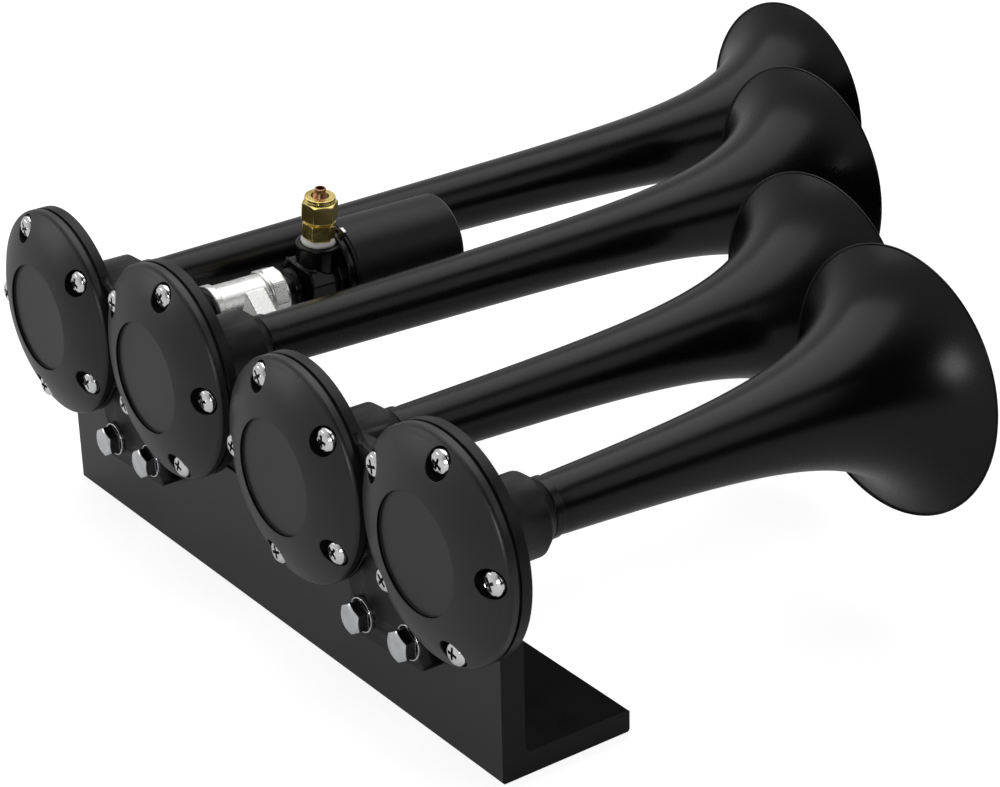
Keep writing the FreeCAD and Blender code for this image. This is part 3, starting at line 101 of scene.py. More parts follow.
# the tee on the left port, the valve behind it, which leans, and the coil a little higher
TEE = place(LEFT_PORT)
LEAN, COIL_RISE, FITTING_Y = np.radians(8), 4.3, 63.3
VALVE_UP = np.array([np.sin(LEAN), 0, np.cos(LEAN)])
VALVE_SIDE = np.array([np.cos(LEAN), 0, -np.sin(LEAN)])
VALVE = place(LEFT_PORT, (0, 1, 0), VALVE_SIDE)
COIL = place(VALVE[0] + COIL_RISE * VALVE_UP, (0, 1, 0), VALVE_SIDE)
FITTING = place((LEFT_PORT[0], FITTING_Y, LEFT_PORT[2]), VALVE_UP, VALVE_SIDE)

# the tee's branch and the elbow, both slanted down to the cross pipe
SLANT, BRANCH_Y, ELBOW_Y = np.radians(40), 25, -7.1
BRANCH = place(
    (LEFT_PORT[0], BRANCH_Y, LEFT_PORT[2]), (np.cos(SLANT), 0, -np.sin(SLANT)), (0, 1, 0))
ELBOW = place(
    (RIGHT_PORT[0], ELBOW_Y, RIGHT_PORT[2]), (-np.cos(SLANT), 0, -np.sin(SLANT)), (0, 1, 0))

# faces square to Y that several pieces share
COVER_FRONT, COVER_BACK, SCREW_SEAT = -55.0, -42.3, -45.7
LUG_FACE, LEG_BACK = -39.0, -20.0
HUB_END = 1.5
print("places:", len(HORN), "horn axes, covers from", COVER_FRONT, "to", COVER_BACK, "mm along Y")

# %% [markdown]
# ## From grids of points to a piece
#
# A surface is a grid: one parameter runs along a profile, the other round the
# axis or along a path. Numpy gives all its points at once. Doubled points, as
# at a pole or a seam, are merged, and the faces are turned outward. A real
# moulding has no perfectly sharp corner, so every profile has small arcs at
# its corners, which is where the light catches.


# %% Rounded profiles
def rounded(points, radii, steps=4, closed=False):
    """A line whose corners become arcs.

    The arc touches both runs at radius / tan(half the corner's angle) from
    the corner, and its centre is radius / sin(half angle) away on the
    bisector. One more point beside each arc keeps a flat run's shading flat.
    An arc takes at most 0.42 of the shorter run, and a corner that is nearly
    straight, with a half angle over 1.55, stays as it is.
    """
    points = np.asarray(points, float)
    radii = np.broadcast_to(radii, len(points))
    last = len(points) - 1
    line = []
    for i, (corner, radius) in enumerate(zip(points, radii)):
        to_last = points[i - 1] - corner
        to_next = points[(i + 1) % (last + 1)] - corner
        run = min(np.linalg.norm(to_last), np.linalg.norm(to_next))
        ends = not closed and i in (0, last)
        half = 0.0 if ends else 0.5 * np.arccos(np.clip(unit(to_last) @ unit(to_next), -1, 1))
        if ends or radius == 0 or half > 1.55:
            line.append(corner[None])
            continue
        u, v = unit(to_last), unit(to_next)
        reach = min(radius / np.tan(half), 0.42 * run)
        centre = corner + unit(u + v) * reach / np.cos(half)
        w = np.linspace(0, 1, steps + 1)[:, None]
        sweep = np.pi - 2 * half
        start, end = corner + reach * u - centre, corner + reach * v - centre
        bow = np.sin((1 - w) * sweep) * start + np.sin(w * sweep) * end
        guard = min(0.4 * reach, 0.07 * run)
        beside = reach + guard
        line += [corner[None] + beside * u, centre + bow / np.sin(sweep), corner[None] + beside * v]
    return np.concatenate(line)


square = rounded([(0, 0), (10, 0), (10, 10)], [0, 2, 0])
print("a square corner rounded to 2 mm:", np.round(square, 2).tolist())


# %% Surfaces of revolution
def turned(profile, where, around=96):
    """Each point (radius, height) goes round: radius cos a across, radius sin a up."""
    radius, height = np.asarray(profile, float).T[:, :, None]
    a = np.linspace(0, 2 * np.pi, around, endpoint=False)
    return put(where, radius * np.cos(a), radius * np.sin(a), height)


def solid(profile, where, around=96):
    """Skin of a turned solid whose profile starts and ends on the axis."""
    return turned(profile, where, around), False, True


def ring(profile, where, around=96):
    """Skin of a turned ring: its profile closes on itself."""
    return turned(profile, where, around), True, True


def parts_of(skin, cuts, numbers):
    """The same skin cut at some of its rows, so that each part can take its own finish."""
    grid, _, columns_close = skin
    edges = [0, *cuts, len(grid) - 1]
    spans = zip(edges, edges[1:], numbers)
    return [(grid[a:b + 1], False, columns_close, number) for a, b, number in spans]


# %% The mesh builder
def cells(rows, columns, wrap_rows, wrap_columns):
    """Four indices for each cell of a grid: (i, j), (i, j + 1), (i + 1, j + 1), (i + 1, j)."""
    i = np.arange(rows if wrap_rows else rows - 1)[:, None]
    j = np.arange(columns if wrap_columns else columns - 1)[None, :]
    i2, j2 = (i + 1) % rows, (j + 1) % columns
    corners = [i * columns + j, i * columns + j2, i2 * columns + j2, i2 * columns + j]
    return np.stack(np.broadcast_arrays(*corners), -1).reshape(-1, 4)


def mesh_of(name, skins):
    """One mesh from several grids.

    A skin is (points, whether rows close, whether columns close), and may
    add the number of its finish, where a piece has more than one.
    """
    points, faces, which, count = [], [], [], 0
    for grid, wrap_rows, wrap_columns, *number in skins:
        rows, columns = grid.shape[:2]
        faces.append(cells(rows, columns, wrap_rows, wrap_columns) + count)
        which.append(np.full(len(faces[-1]), number[0] if number else 0))
        points.append(grid.reshape(-1, 3) * MM)
        count += rows * columns
    mesh = bpy.data.meshes.new(name)
    mesh.from_pydata(np.concatenate(points).tolist(), [], np.concatenate(faces).tolist())
    mesh.polygons.foreach_set("material_index", np.concatenate(which))
    shell = bmesh.new()
    shell.from_mesh(mesh)
    bmesh.ops.remove_doubles(shell, verts=shell.verts, dist=1e-6)
    bmesh.ops.recalc_face_normals(shell, faces=shell.faces)
    shell.to_mesh(mesh)
    shell.free()
    return mesh


def shade(mesh, crease=40):
    """Smooth shading, with a sharp edge where two faces meet at over crease degrees."""
    mesh.shade_smooth()
    mesh.set_sharp_from_angle(angle=np.radians(crease))


# %% From a mesh to a piece
def dress(name, mesh, finish, slot, *nodes):
    """Makes the piece, gives it its finish or finishes, and hides the CAD nodes it stands for."""
    piece = bpy.data.objects.new(name, mesh)
    bpy.context.scene.collection.objects.link(piece)
    if mesh.materials:
        mesh.materials.clear()
    for one in finish if isinstance(finish, tuple) else (finish,):
        mesh.materials.append(one)
    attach(piece, "root")
    if nodes:
        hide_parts(*nodes)
    print(f"{name}: {len(mesh.polygons)} faces")
    return piece


def build(name, skins, finish, slot, *nodes, crease=40):
    """A piece straight from its grids."""
    mesh = mesh_of(name, skins)
    shade(mesh, crease)
    return dress(name, mesh, finish, slot, *nodes)


# %% [markdown]
# ## Finishes
#
# Everything black here is a different black: satin moulded plastic on the
# covers, glossier trumpets, powder coat on the bracket. What tells them apart
# is roughness and the scale of the grain, so one recipe takes those as
# numbers: a cloudy noise moves the colour and the roughness, and a fine noise
# raises the surface. All noises read Object coordinates, in metres.


# %% The recipe for a finish
def finish(name, dark, light, rough, metal=0.0, cloud=30.0, grain=0.6, depth=0.01,
           stretch=(1, 1, 1), specular=0.5):
    """A finish whose colour and roughness drift over clouds of so many mm.

    Colour goes from dark to light and roughness from rough[0] to rough[1],
    while the clouds plus a share of the fine noise go from low to high. The
    bump is grain mm wide and depth mm high. Stretch divides the grain's width
    along X, Y and Z, so that it can follow a drawn or turned surface.
    """
    low, high, fine_share = 0.45, 0.9, 0.35
    material = bpy.data.materials.new(name)
    material.use_nodes = True
    nodes, link = material.node_tree.nodes, material.node_tree.links.new
    shader = nodes["Principled BSDF"]
    shader.inputs["Metallic"].default_value = metal
    shader.inputs["Specular IOR Level"].default_value = specular
    where = nodes.new("ShaderNodeTexCoord")
    clouds = nodes.new("ShaderNodeTexNoise")
    clouds.inputs["Scale"].default_value = 1000 / cloud
    clouds.inputs["Detail"].default_value = 5
    link(where.outputs["Object"], clouds.inputs["Vector"])
    turn = nodes.new("ShaderNodeMapping")
    turn.inputs["Scale"].default_value = stretch
    link(where.outputs["Object"], turn.inputs["Vector"])
    fine = nodes.new("ShaderNodeTexNoise")
    fine.inputs["Scale"].default_value = 1000 / grain
    fine.inputs["Detail"].default_value = 3
    link(turn.outputs["Vector"], fine.inputs["Vector"])
    blend = nodes.new("ShaderNodeMath")
    blend.operation = "MULTIPLY_ADD"
    blend.inputs[1].default_value = fine_share
    link(fine.outputs["Fac"], blend.inputs[0])
    link(clouds.outputs["Fac"], blend.inputs[2])
    colour = nodes.new("ShaderNodeValToRGB")
    for stop, at, shown in zip(colour.color_ramp.elements, (low, high), (dark, light)):
        stop.position, stop.color = at, (*shown, 1)
    link(blend.outputs["Value"], colour.inputs["Fac"])
    link(colour.outputs["Color"], shader.inputs["Base Color"])
    gloss = nodes.new("ShaderNodeMapRange")
    for socket, value in zip(("From Min", "From Max", "To Min", "To Max"), (low, high, *rough)):
        gloss.inputs[socket].default_value = value
    link(blend.outputs["Value"], gloss.inputs["Value"])
    link(gloss.outputs["Result"], shader.inputs["Roughness"])
    bump = nodes.new("ShaderNodeBump")
    bump.inputs["Strength"].default_value = 1.0
    bump.inputs["Distance"].default_value = depth * MM
    link(fine.outputs["Fac"], bump.inputs["Height"])
    link(bump.outputs["Normal"], shader.inputs["Normal"])
    return material


# %% [markdown]
# The blacks first. The covers and trumpets are moulded in filled plastic, the
# twin housings are painted castings, and the bracket has powder coat, whose
# orange peel is about a millimetre wide. Its front is satin; its back takes a
# darker, duller copy as painted shade and the top of its flange the darkest copy
# as deeper painted shade, so it takes three finishes. The coil's rear edge takes
# a paler finish as a painted highlight, and a recess takes a darker one as
# painted shade.


# %% Black finishes
def grey(level):
    """The same level of red, green and blue."""
    return level, level, level


cover_black = finish(
    "cover_satin", grey(0.009), grey(0.013), (0.33, 0.42), cloud=45, grain=0.5, depth=0.005)
trumpet_black = finish(
    "trumpet_gloss", grey(0.0012), grey(0.0026), (0.24, 0.31), cloud=60, grain=0.7, depth=0.002,
    stretch=(1, 0.3, 1), specular=0.28)
housing_black = finish(
    "housing_paint", grey(0.003), grey(0.006), (0.34, 0.46), cloud=25, grain=0.9, depth=0.02,
    specular=0.28)
powder_black = finish(
    "powder_coat", grey(0.004), grey(0.007), (0.30, 0.40), cloud=50, grain=1.1, depth=0.03,
    specular=0.55)
# Painted shade: a darker, duller copy of the powder coat for the bracket's back.
powder_painted_shade = finish(
    "powder_coat_painted_shade", grey(0.002), grey(0.004), (0.34, 0.46), cloud=50, grain=1.1, depth=0.05,
    specular=0.22)
# Painted shade, the deepest: a near-black copy of the coat for the top of the bracket's flange.
powder_painted_deep_shade = finish(
    "powder_coat_painted_deep_shade", grey(0.0006), grey(0.0014), (0.26, 0.5), cloud=22, grain=0.8, depth=0.03,
    stretch=(0.2, 1, 1), specular=0.05)
valve_black = finish(
    "valve_gloss", grey(0.0015), grey(0.004), (0.16, 0.28), cloud=14, grain=1.4, depth=0.03,
    specular=0.28)
coil_black = finish(
    "coil_resin", grey(0.004), grey(0.007), (0.34, 0.45), cloud=20, grain=0.5, depth=0.012,
    specular=0.28)
# Painted highlight: a paler resin for the rows of the coil can's rear round.
coil_painted_highlight = finish(
    "coil_painted_highlight", grey(0.05), grey(0.09), (0.30, 0.40), cloud=9, grain=0.5, depth=0.01)
pipe_black = finish(
    "pipe_paint", grey(0.010), grey(0.017), (0.30, 0.42), cloud=20, grain=0.6, depth=0.01,
    specular=0.28)
gasket_black = finish(
    "gasket_rubber", grey(0.006), grey(0.014), (0.65, 0.80), cloud=10, grain=0.3, depth=0.02)
# Painted shade: near-black for the screw recesses, the crown's lower wall and the washers' inner
# discs.
painted_recess_shade = finish(
    "recess_painted_shade", grey(0.0008), grey(0.0016), (0.55, 0.7), cloud=8, grain=0.6, depth=0.01,
    specular=0.08)
print("black finishes:", len(bpy.data.materials))

# %% [markdown]
# The metals. Chrome on the screws is almost a mirror, and the cross in it is
# painted dark grey as painted shade; the zinc of the bolts is duller and a
# little blue, and the sides of their heads take a darker copy of it as painted
# shade; the tee is a rough casting under bright nickel, so its light comes from
# wide, mottled reflections, and its threaded nipples take nickel darkened nearly
# to black as painted shade. Brass tarnishes darker where nobody touches it, and
# the small insert is browner and redder than the brass. The white thread tape
# isn't a metal, but it has the same recipe.

# %% Metal finishes, and the tape
chrome = finish(
    "screw_chrome", (0.86, 0.86, 0.87), (0.97, 0.97, 0.97), (0.08, 0.22), metal=1,
    cloud=3, grain=0.5, depth=0.01)
# Painted shade: dark grey steel for the cross recesses of the chrome screws.
cross_painted_shade = finish(
    "cross_painted_shade", grey(0.05), grey(0.14), (0.3, 0.5), metal=1, cloud=2, grain=0.4, depth=0.01)
zinc = finish(
    "bolt_zinc", (0.66, 0.67, 0.70), (0.86, 0.87, 0.88), (0.12, 0.22), metal=1,
    cloud=5, grain=0.35, depth=0.008)
# Painted shade: a darker copy of the zinc for the sides of the bolt heads.
zinc_painted_shade = finish(
    "bolt_side_painted_shade", (0.13, 0.13, 0.14), (0.30, 0.30, 0.31), (0.16, 0.26), metal=1,
    cloud=4, grain=0.35, depth=0.008)
nickel = finish(
    "cast_nickel", (0.82, 0.82, 0.81), (0.96, 0.96, 0.95), (0.22, 0.38), metal=0.85,
    cloud=6, grain=1.0, depth=0.06)
# Painted shade: nickel darkened nearly to black for the threaded nipples.
nickel_painted_shade = finish(
    "nickel_painted_shade", grey(0.008), grey(0.04), (0.26, 0.40), metal=1,
    cloud=3, grain=0.4, depth=0.02)
steel = finish(
    "bare_steel", grey(0.42), (0.60, 0.60, 0.59), (0.26, 0.38), metal=1,
    cloud=8, grain=0.3, depth=0.006)
brass = finish(
    "yellow_brass", (0.68, 0.49, 0.11), (1.0, 0.82, 0.32), (0.16, 0.28), metal=0.95,
    cloud=11, grain=0.5, depth=0.006)
copper = finish(
    "red_copper", (0.30, 0.12, 0.05), (0.66, 0.36, 0.20), (0.24, 0.38), metal=1,
    cloud=3, grain=0.4, depth=0.01)
tape_white = finish(
    "thread_tape", (0.70, 0.69, 0.66), (0.86, 0.86, 0.84), (0.50, 0.65),
    cloud=3, grain=0.7, depth=0.09, stretch=(0.4, 0.4, 3))
print("finishes:", len(bpy.data.materials))

# %% [markdown]
# CAD nodes that nobody sees, or whose shape is already right, keep their own
# mesh and only get the finish in their material slots.

# %% Finishes for the CAD nodes
BY_SLOT = {
    "bracket_paint": powder_black, "housing_paint": housing_black, "cover_plastic": cover_black,
    "trumpet_plastic": trumpet_black, "diaphragm_steel": steel, "gasket_rubber": gasket_black,
    "bright_screws": chrome, "bright_bolts": zinc, "plated_tee": nickel_painted_shade,
    "valve_paint": valve_black, "coil_plastic": coil_black, "coil_steel": steel,
    "fitting_brass": brass, "insert_copper": copper, "thread_tape": tape_white,
    "pipe_paint": pipe_black,
}
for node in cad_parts.values():
    for slot in node.material_slots:
        slot.material = BY_SLOT[slot.material.name.split(".")[0]]
print("CAD nodes that got a finish:", len(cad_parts))

# %% [markdown]
# ## Bracket and twin housings
#
# Their CAD shape is right: a bent angle with bevelled edges, and castings
# whose hubs and lugs are mostly hidden. Only the shading of the flat triangles
# is wrong, so a copy is merged, shaded smooth, and its normals are weighted by
# face area. Big flats then stay flat, and each narrow bevel turns the light as
# a rounded edge would. Each face of the bracket takes one of the three powder
# finishes by where it lies and which way it looks: the front the plain coat,
# the back a darker copy as painted shade, and the flange's top an even darker
# copy as deeper painted shade. The edges of the housings' round flanges catch
# the light, so a finely turned ring covers each of them.


# %% Smoothed copies of CAD nodes
def smoothed(node, finish_of, slot, crease=62):
    """Copy of a node's mesh, its doubled points merged, its normals weighted by face area."""
    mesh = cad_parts[node].data.copy()
    mesh.name = node + "_smooth"
    shell = bmesh.new()
    shell.from_mesh(mesh)
    bmesh.ops.remove_doubles(shell, verts=shell.verts, dist=2e-6)
    bmesh.ops.dissolve_degenerate(shell, edges=shell.edges, dist=1e-6)
    shell.to_mesh(mesh)
    shell.free()
    shade(mesh, crease)
    piece = dress(node + "_smooth", mesh, finish_of, slot, node)
    weighted = piece.modifiers.new("weighted", "WEIGHTED_NORMAL")
    weighted.keep_sharp = True
    return piece


# %% The bracket's coat and its two copies of painted shade
# Faces behind this take painted shade, and the flange's upward faces below ABOVE_FLANGE take deeper
# painted shade.
BEHIND_FRONT = LEG_BACK - 10  # the leg's front face lies a millimetre further forward
ABOVE_FLANGE = 15
bracket = smoothed(
    "bracket", (powder_black, powder_painted_shade, powder_painted_deep_shade), "bracket_paint", crease=25).data
middle, normal = np.empty(3 * len(bracket.polygons)), np.empty(3 * len(bracket.polygons))
bracket.polygons.foreach_get("center", middle)
bracket.polygons.foreach_get("normal", normal)
rear = middle[1::3] > BEHIND_FRONT * MM
painted_shade_flange_top = rear & (normal[2::3] > 0.5) & (middle[2::3] < ABOVE_FLANGE * MM)
bracket.polygons.foreach_set("material_index", rear.astype(int) + painted_shade_flange_top)
print("bracket faces:", len(rear), "of them back", rear.sum(), "and flange top", painted_shade_flange_top.sum())

# %% Housings, the rings over their flanges, and the nipples
FLANGE_FRONT, FLANGE_BACK, FLANGE_RIM, FLANGE_INSIDE = -41.12, -36.58, 47.52, 30
for side in ("left", "right"):
    smoothed("twin_housing_" + side, housing_black, "housing_paint", crease=50)
flange = rounded(
    [(FLANGE_INSIDE, FLANGE_FRONT), (FLANGE_RIM, FLANGE_FRONT),
     (FLANGE_RIM, FLANGE_BACK), (FLANGE_INSIDE, FLANGE_BACK)],
    [0, 0.35, 0.35, 0], 4, closed=True)
for horn, where in HORN.items():
    build(f"flange_{horn}", [ring(flange, where, 192)], housing_black, "housing_paint")
# the nipples take the nearly black nickel, painted shade
for nipple in ("inlet_nipple", "valve_nipple"):
    smoothed(nipple, nickel_painted_shade, "plated_tee", crease=35)

# %% [markdown]
# ## Trumpets
#
# A trumpet is a slow cone that opens ever faster into its bell. One formula
# gives it: a straight cone plus what is left to the bell's rim, times a sum of
# two exponentials of the distance from the mouth. The rows of the grid stand
# closer near the mouth, where the curve is tight. The lip is a full round and
# the small bead against the hub is part of the same profile.

# %% Trumpets
REACH = {1: 396.0, 2: 315.0, 3: 232.0, 4: 186.0}
CONE = {1: 18.5, 2: 16.5, 3: 16.0, 4: 17.2}
BELL, TUBE, WALL, COLLAR, LIP = 58.7, 11.7, 2.4, 4.2, 0.55
SPIGOT_BORE, SPIGOT, BEAD, SPIGOT_LENGTH = 9, 11, 12.5, 25
# share of the opening and length in mm of each exponential
SLOW, FAST = (0.79, 38.2), (0.21, 9.5)


def flare(back, reach, cone):
    """Outer radius: tube + narrowing cone + (bell - cone) sum of share e^(-back/length)."""
    narrow = (cone - TUBE) * (1 - back / (reach - COLLAR))
    opening = [share * np.exp(-back / length) for share, length in (SLOW, FAST)]
    return TUBE + narrow + (BELL - cone) * (opening[0] + opening[1])


def trumpet_profile(horn, rows=120):
    """Closed profile: spigot, bead, outer flare, round lip, inner flare, bore."""
    reach, cone = REACH[horn], CONE[horn]
    mouth = HUB_END + reach
    back = (reach - COLLAR) * np.linspace(1, 0, rows) ** 2.4
    back = back[back > LIP]
    outer = np.stack([flare(back, reach, cone), mouth - back], 1)
    turn = np.radians(np.linspace(-60, 120, 9))[:, None]
    rim = np.array([BELL - LIP - 0.05, mouth - LIP]) + LIP * np.hstack([np.cos(turn), np.sin(turn)])
    inner = np.stack([flare(back, reach, cone) - WALL, mouth - back], 1)[::-1]
    bead = rounded([
        (SPIGOT_BORE, HUB_END - SPIGOT_LENGTH), (SPIGOT, HUB_END - SPIGOT_LENGTH),
        (SPIGOT, HUB_END), (BEAD, HUB_END), (BEAD, HUB_END + COLLAR), (TUBE, HUB_END + COLLAR),
    ], [0, 0.5, 0, 1.2, 1.2, 0], 6)
    return np.concatenate([bead, outer[1:], rim, inner])


for horn, where in HORN.items():
    build(f"trumpet_{horn}_skin", [ring(trumpet_profile(horn), where, 144)],
          trumpet_black, "trumpet_plastic", f"trumpet_{horn}")
print("mouths at", [HUB_END + reach for reach in REACH.values()], "mm along Y")

# %% [markdown]
# ## Front covers
#
# A cover is a shallow dome with a sunk flat crown and five round recesses for
# its screws. A recess cuts a circle out of a curved surface, which a turned
# profile can't do. So the dome is cut in five equal sectors, and in each one
# rays run from the recess's circle to the sector's edge: the grid's first row
# lies on the circle, its last on the edge, and the height of every point comes
# from the dome's profile at its distance from the axis. The recesses and the
# short wall round the crown see little light, so they take a darker finish.

# %% The dome's height
CROWN, RIM, BORE, SCREW_CIRCLE = 24.5, 47.5, 6.0, 40.0
SECTORS = 5
CROWN_FLOOR, RIM_TOP = COVER_FRONT + 1.25, COVER_FRONT + 9.9


def arc(start, end, radius, steps=24):
    """Arc between two points, bulging away from the axis and to the front."""
    start, end = np.asarray(start, float), np.asarray(end, float)
    chord = end - start
    half = np.linalg.norm(chord) / 2
    inward = np.array([-chord[1], chord[0]]) / (2 * half)
    centre = (start + end) / 2 + inward * np.sqrt(radius**2 - half**2)
    first, last = [np.arctan2(*(p - centre)[::-1]) for p in (start, end)]
    a = np.linspace(first, last, steps)[:, None]
    return centre + radius * np.hstack([np.cos(a), np.sin(a)])


dome = np.concatenate([
    arc((CROWN, COVER_FRONT), (45.1, COVER_FRONT + 7.6), 60)[:-1],
    arc((45.3, COVER_FRONT + 7.75), (RIM, RIM_TOP), 3.2, 16)])
dome[:, 1] = np.convolve(np.pad(dome[:, 1], 1, "edge"), (0.2, 0.6, 0.2), "valid")
FOLD_IN, FOLD_OUT = CROWN + 0.6, 47.1


def dome_height(radius):
    """Height of the dome at a distance from its axis, read off its profile."""
    return np.interp(radius, dome[:, 0], dome[:, 1])


print("dome falls from", COVER_FRONT, "to", RIM_TOP, "mm in", len(dome), "steps")


# %% One sector and its recess
def sector(turn):
    """A sector of the dome and its recess, each as (points in the plane, heights).

    Points are complex numbers a + b i, so e^(i turn) turns them. A ray goes
    from the screw's centre to a point of the sector's edge. Its point at w is
    circle + w (edge - circle), and w runs denser at the ends. The angles of
    the sector's outer and inner edge come back too, for the parts beside it.
    """
    half = np.pi / SECTORS
    arc_out = np.linspace(-half, half, 49)
    side = np.linspace(0, 1, 17)[1:-1]
    arc_in = np.linspace(half, -half, 33)
    radius = np.concatenate([
        np.full(len(arc_out), FOLD_OUT), FOLD_OUT + (FOLD_IN - FOLD_OUT) * side,
        np.full(len(arc_in), FOLD_IN), FOLD_IN + (FOLD_OUT - FOLD_IN) * side])
    angle = np.concatenate([
        arc_out, np.full(len(side), half), arc_in, np.full(len(side), -half)])
    edge = radius * np.exp(1j * angle)
    ray = (edge - SCREW_CIRCLE) / np.abs(edge - SCREW_CIRCLE)
    w = 0.5 - 0.5 * np.cos(np.pi * np.linspace(0, 1, 26)[:, None])
    mouth = BORE + 0.35
    start = SCREW_CIRCLE + mouth * ray
    top = start + w * (edge - start)
    lip = dome_height(np.abs(start))
    # the recess: four rows measured down from the lip, then four up from the screw's seat
    radii = np.array([mouth - 0.12, mouth - 0.25, BORE, BORE, BORE, BORE - 0.4, 5.0, 0.0])
    below_lip = np.array([0.02, 0.12, 0.38, 0.7])[:, None]
    over_seat = np.array([0.35, 0, 0, 0])[:, None]
    wall = SCREW_CIRCLE + radii[:, None] * ray
    seat = np.broadcast_to(SCREW_SEAT - over_seat, (len(over_seat), len(lip)))
    wall_height = np.concatenate([lip + below_lip, seat])
    spin = np.exp(1j * turn)
    dome_part = (
        np.concatenate([wall[2::-1], top]) * spin,
        np.concatenate([wall_height[2::-1], dome_height(np.abs(top))]))
    return dome_part, (wall[2:] * spin, wall_height[2:]), arc_out + turn, arc_in[::-1] + turn


def screw_angles(horn):
    """Angles of the recesses: the first points left on horns 1 and 3, right on horns 2 and 4."""
    first = np.pi if horn in (1, 3) else 0.0
    return [first + k * 2 * np.pi / SECTORS for k in range(SECTORS)]


# %% The covers
# the hollow back: radius of its land, and its depth there and behind the crown
LAND, HOLLOW, CROWN_HOLLOW = 31.5, 4.6, 8.8


def cover_skins(horn):
    """Five sectors, the sunk crown inside them, and the rim and hollow back outside.

    All use the same angles, so that they meet point by point.
    """
    where, skins, outer, inner = HORN[horn], [], [], []
    for turn in screw_angles(horn):
        dome_part, recess, out, inn = sector(turn)
        # the recess, number 1, takes painted shade
        for number, (points, height) in enumerate((dome_part, recess)):
            skins.append((put(where, points.real, points.imag, height), False, True, number))
        outer.append(out[:-1])
        inner.append(inn[:-1])
    crown_foot = (CROWN - 0.05, CROWN_FLOOR - 0.1)
    crown = rounded([crown_foot, (CROWN - 0.12, CROWN_FLOOR), (0, CROWN_FLOOR)], [0, 0.05, 0], 2)
    crown_wall = rounded(
        [(FOLD_IN, dome_height(FOLD_IN)), (CROWN, COVER_FRONT + 0.02), crown_foot],
        [0, 0.12, 0], 4)
    rim = rounded([
        (FOLD_OUT, dome_height(FOLD_OUT)), (RIM, RIM_TOP), (RIM, COVER_BACK), (LAND, COVER_BACK),
        (LAND, COVER_BACK - HOLLOW), (CROWN, COVER_BACK - HOLLOW),
        (CROWN, COVER_BACK - CROWN_HOLLOW), (0, COVER_BACK - CROWN_HOLLOW),
    ], [0, 1.0, 0.45, 0, 0, 0, 0, 0], 5)
    # the lower part of the crown's wall, number 1, takes painted shade
    parts = (
        (crown, inner, 0), (crown_wall[:4], inner, 0), (crown_wall[3:], inner, 1), (rim, outer, 0))
    for profile, angles, number in parts:
        a = np.concatenate(angles)
        radius, height = profile.T[:, :, None]
        points = put(where, radius * np.cos(a), radius * np.sin(a), height)
        skins.append((points, False, True, number))
    return skins


for horn in HORN:
    build(f"front_cover_{horn}_skin", cover_skins(horn), (cover_black, painted_recess_shade),
          "cover_plastic", f"front_cover_{horn}", crease=50)

# %% [markdown]
# ## Cross-recess screws
#
# A pan head with a cross cut in it. Seen from the centre, the cross's outline
# meets every direction once, so it can be a row of a polar grid: the distance
# to the outline is a function of the angle. Rows inside it go down into the
# recess, which takes dark grey steel as painted shade, and rows outside it run
# over the head.


# %% Screws
HEAD_RADIUS, HEAD_HEIGHT, SHANK, SHANK_END = 5.4, 4.6, 2.5, COVER_BACK + 3
# share of the way to the cross's outline, and depth, from its middle out
CROSS_ROWS = [(0.0, 2.3), (0.35, 2.1), (0.75, 1.6), (0.9, 0.6), (0.96, 0.12)]
# angles in a quarter turn, closer together at the cross's inner corners
QUARTER = np.radians([0, 6, 11.5, 12.8, 14.5, 19, 26, 35, 45, 55, 64, 71, 75.5, 77.2, 78.5, 84])


def cross_outline(a, reach=2.9, width=0.66):
    """Distance to a cross: its arm's end reach / cos a or its flank width / sin a, if nearer."""
    a = np.abs((a + np.pi / 4) % (np.pi / 2) - np.pi / 4)
    return np.minimum(reach / np.cos(a), width / np.maximum(np.sin(a), 1e-9))


def screw(where, turn):
    """Polar grids of a screw: its head with a short shank, and the cross's recess."""
    a = (np.arange(4)[:, None] * np.pi / 2 + QUARTER).ravel()
    cross = cross_outline(a)
    top = SCREW_SEAT - HEAD_HEIGHT
    head = rounded([
        (3.1, top + 0.1), (4.3, top + 0.55), (HEAD_RADIUS, top + 1.8),
        (HEAD_RADIUS, SCREW_SEAT), (SHANK, SCREW_SEAT), (SHANK, SHANK_END),
    ], [0, 1.2, 1.2, 0.3, 0, 0], 5)
    recess = [(cross * share, np.full_like(a, top + depth)) for share, depth in CROSS_ROWS]
    edge = (np.minimum(cross * 1.04 + 0.08, 3.05), np.full_like(a, top + 0.02))
    outside = [recess[-1], (cross, np.full_like(a, top)), edge]
    outside += [(np.full_like(a, r), np.full_like(a, h)) for r, h in head]
    outside.append((a * 0, np.full_like(a, SHANK_END)))
    skins = []
    # the recess, number 1, takes painted shade
    for number, rows in enumerate((outside, recess)):
        radius, height = (np.stack(row) for row in zip(*rows))
        points = put(where, radius * np.cos(a + turn), radius * np.sin(a + turn), height)
        skins.append((points, False, True, number))
    return skins


screws = []
for horn, where in HORN.items():
    centre, across, third, axis = where
    for k, a in enumerate(screw_angles(horn)):
        spot = centre + SCREW_CIRCLE * (np.cos(a) * across + np.sin(a) * third)
        screws += screw((spot, across, third, axis), 0.9 * horn + 2.2 * k)
build("cover_screws_skin", screws, (chrome, cross_painted_shade), "bright_screws", "cover_screws", crease=35)

# %% [markdown]
# ## Hexagons
#
# Bolt heads, nuts and the brass fitting are hexagons whose corners were turned
# off on a lathe. At an angle b from the middle of a flat the outline is half
# the width across flats, divided by cos b. A cone lowers the height the more
# the outline stands out, which gives the curved line on every flat.


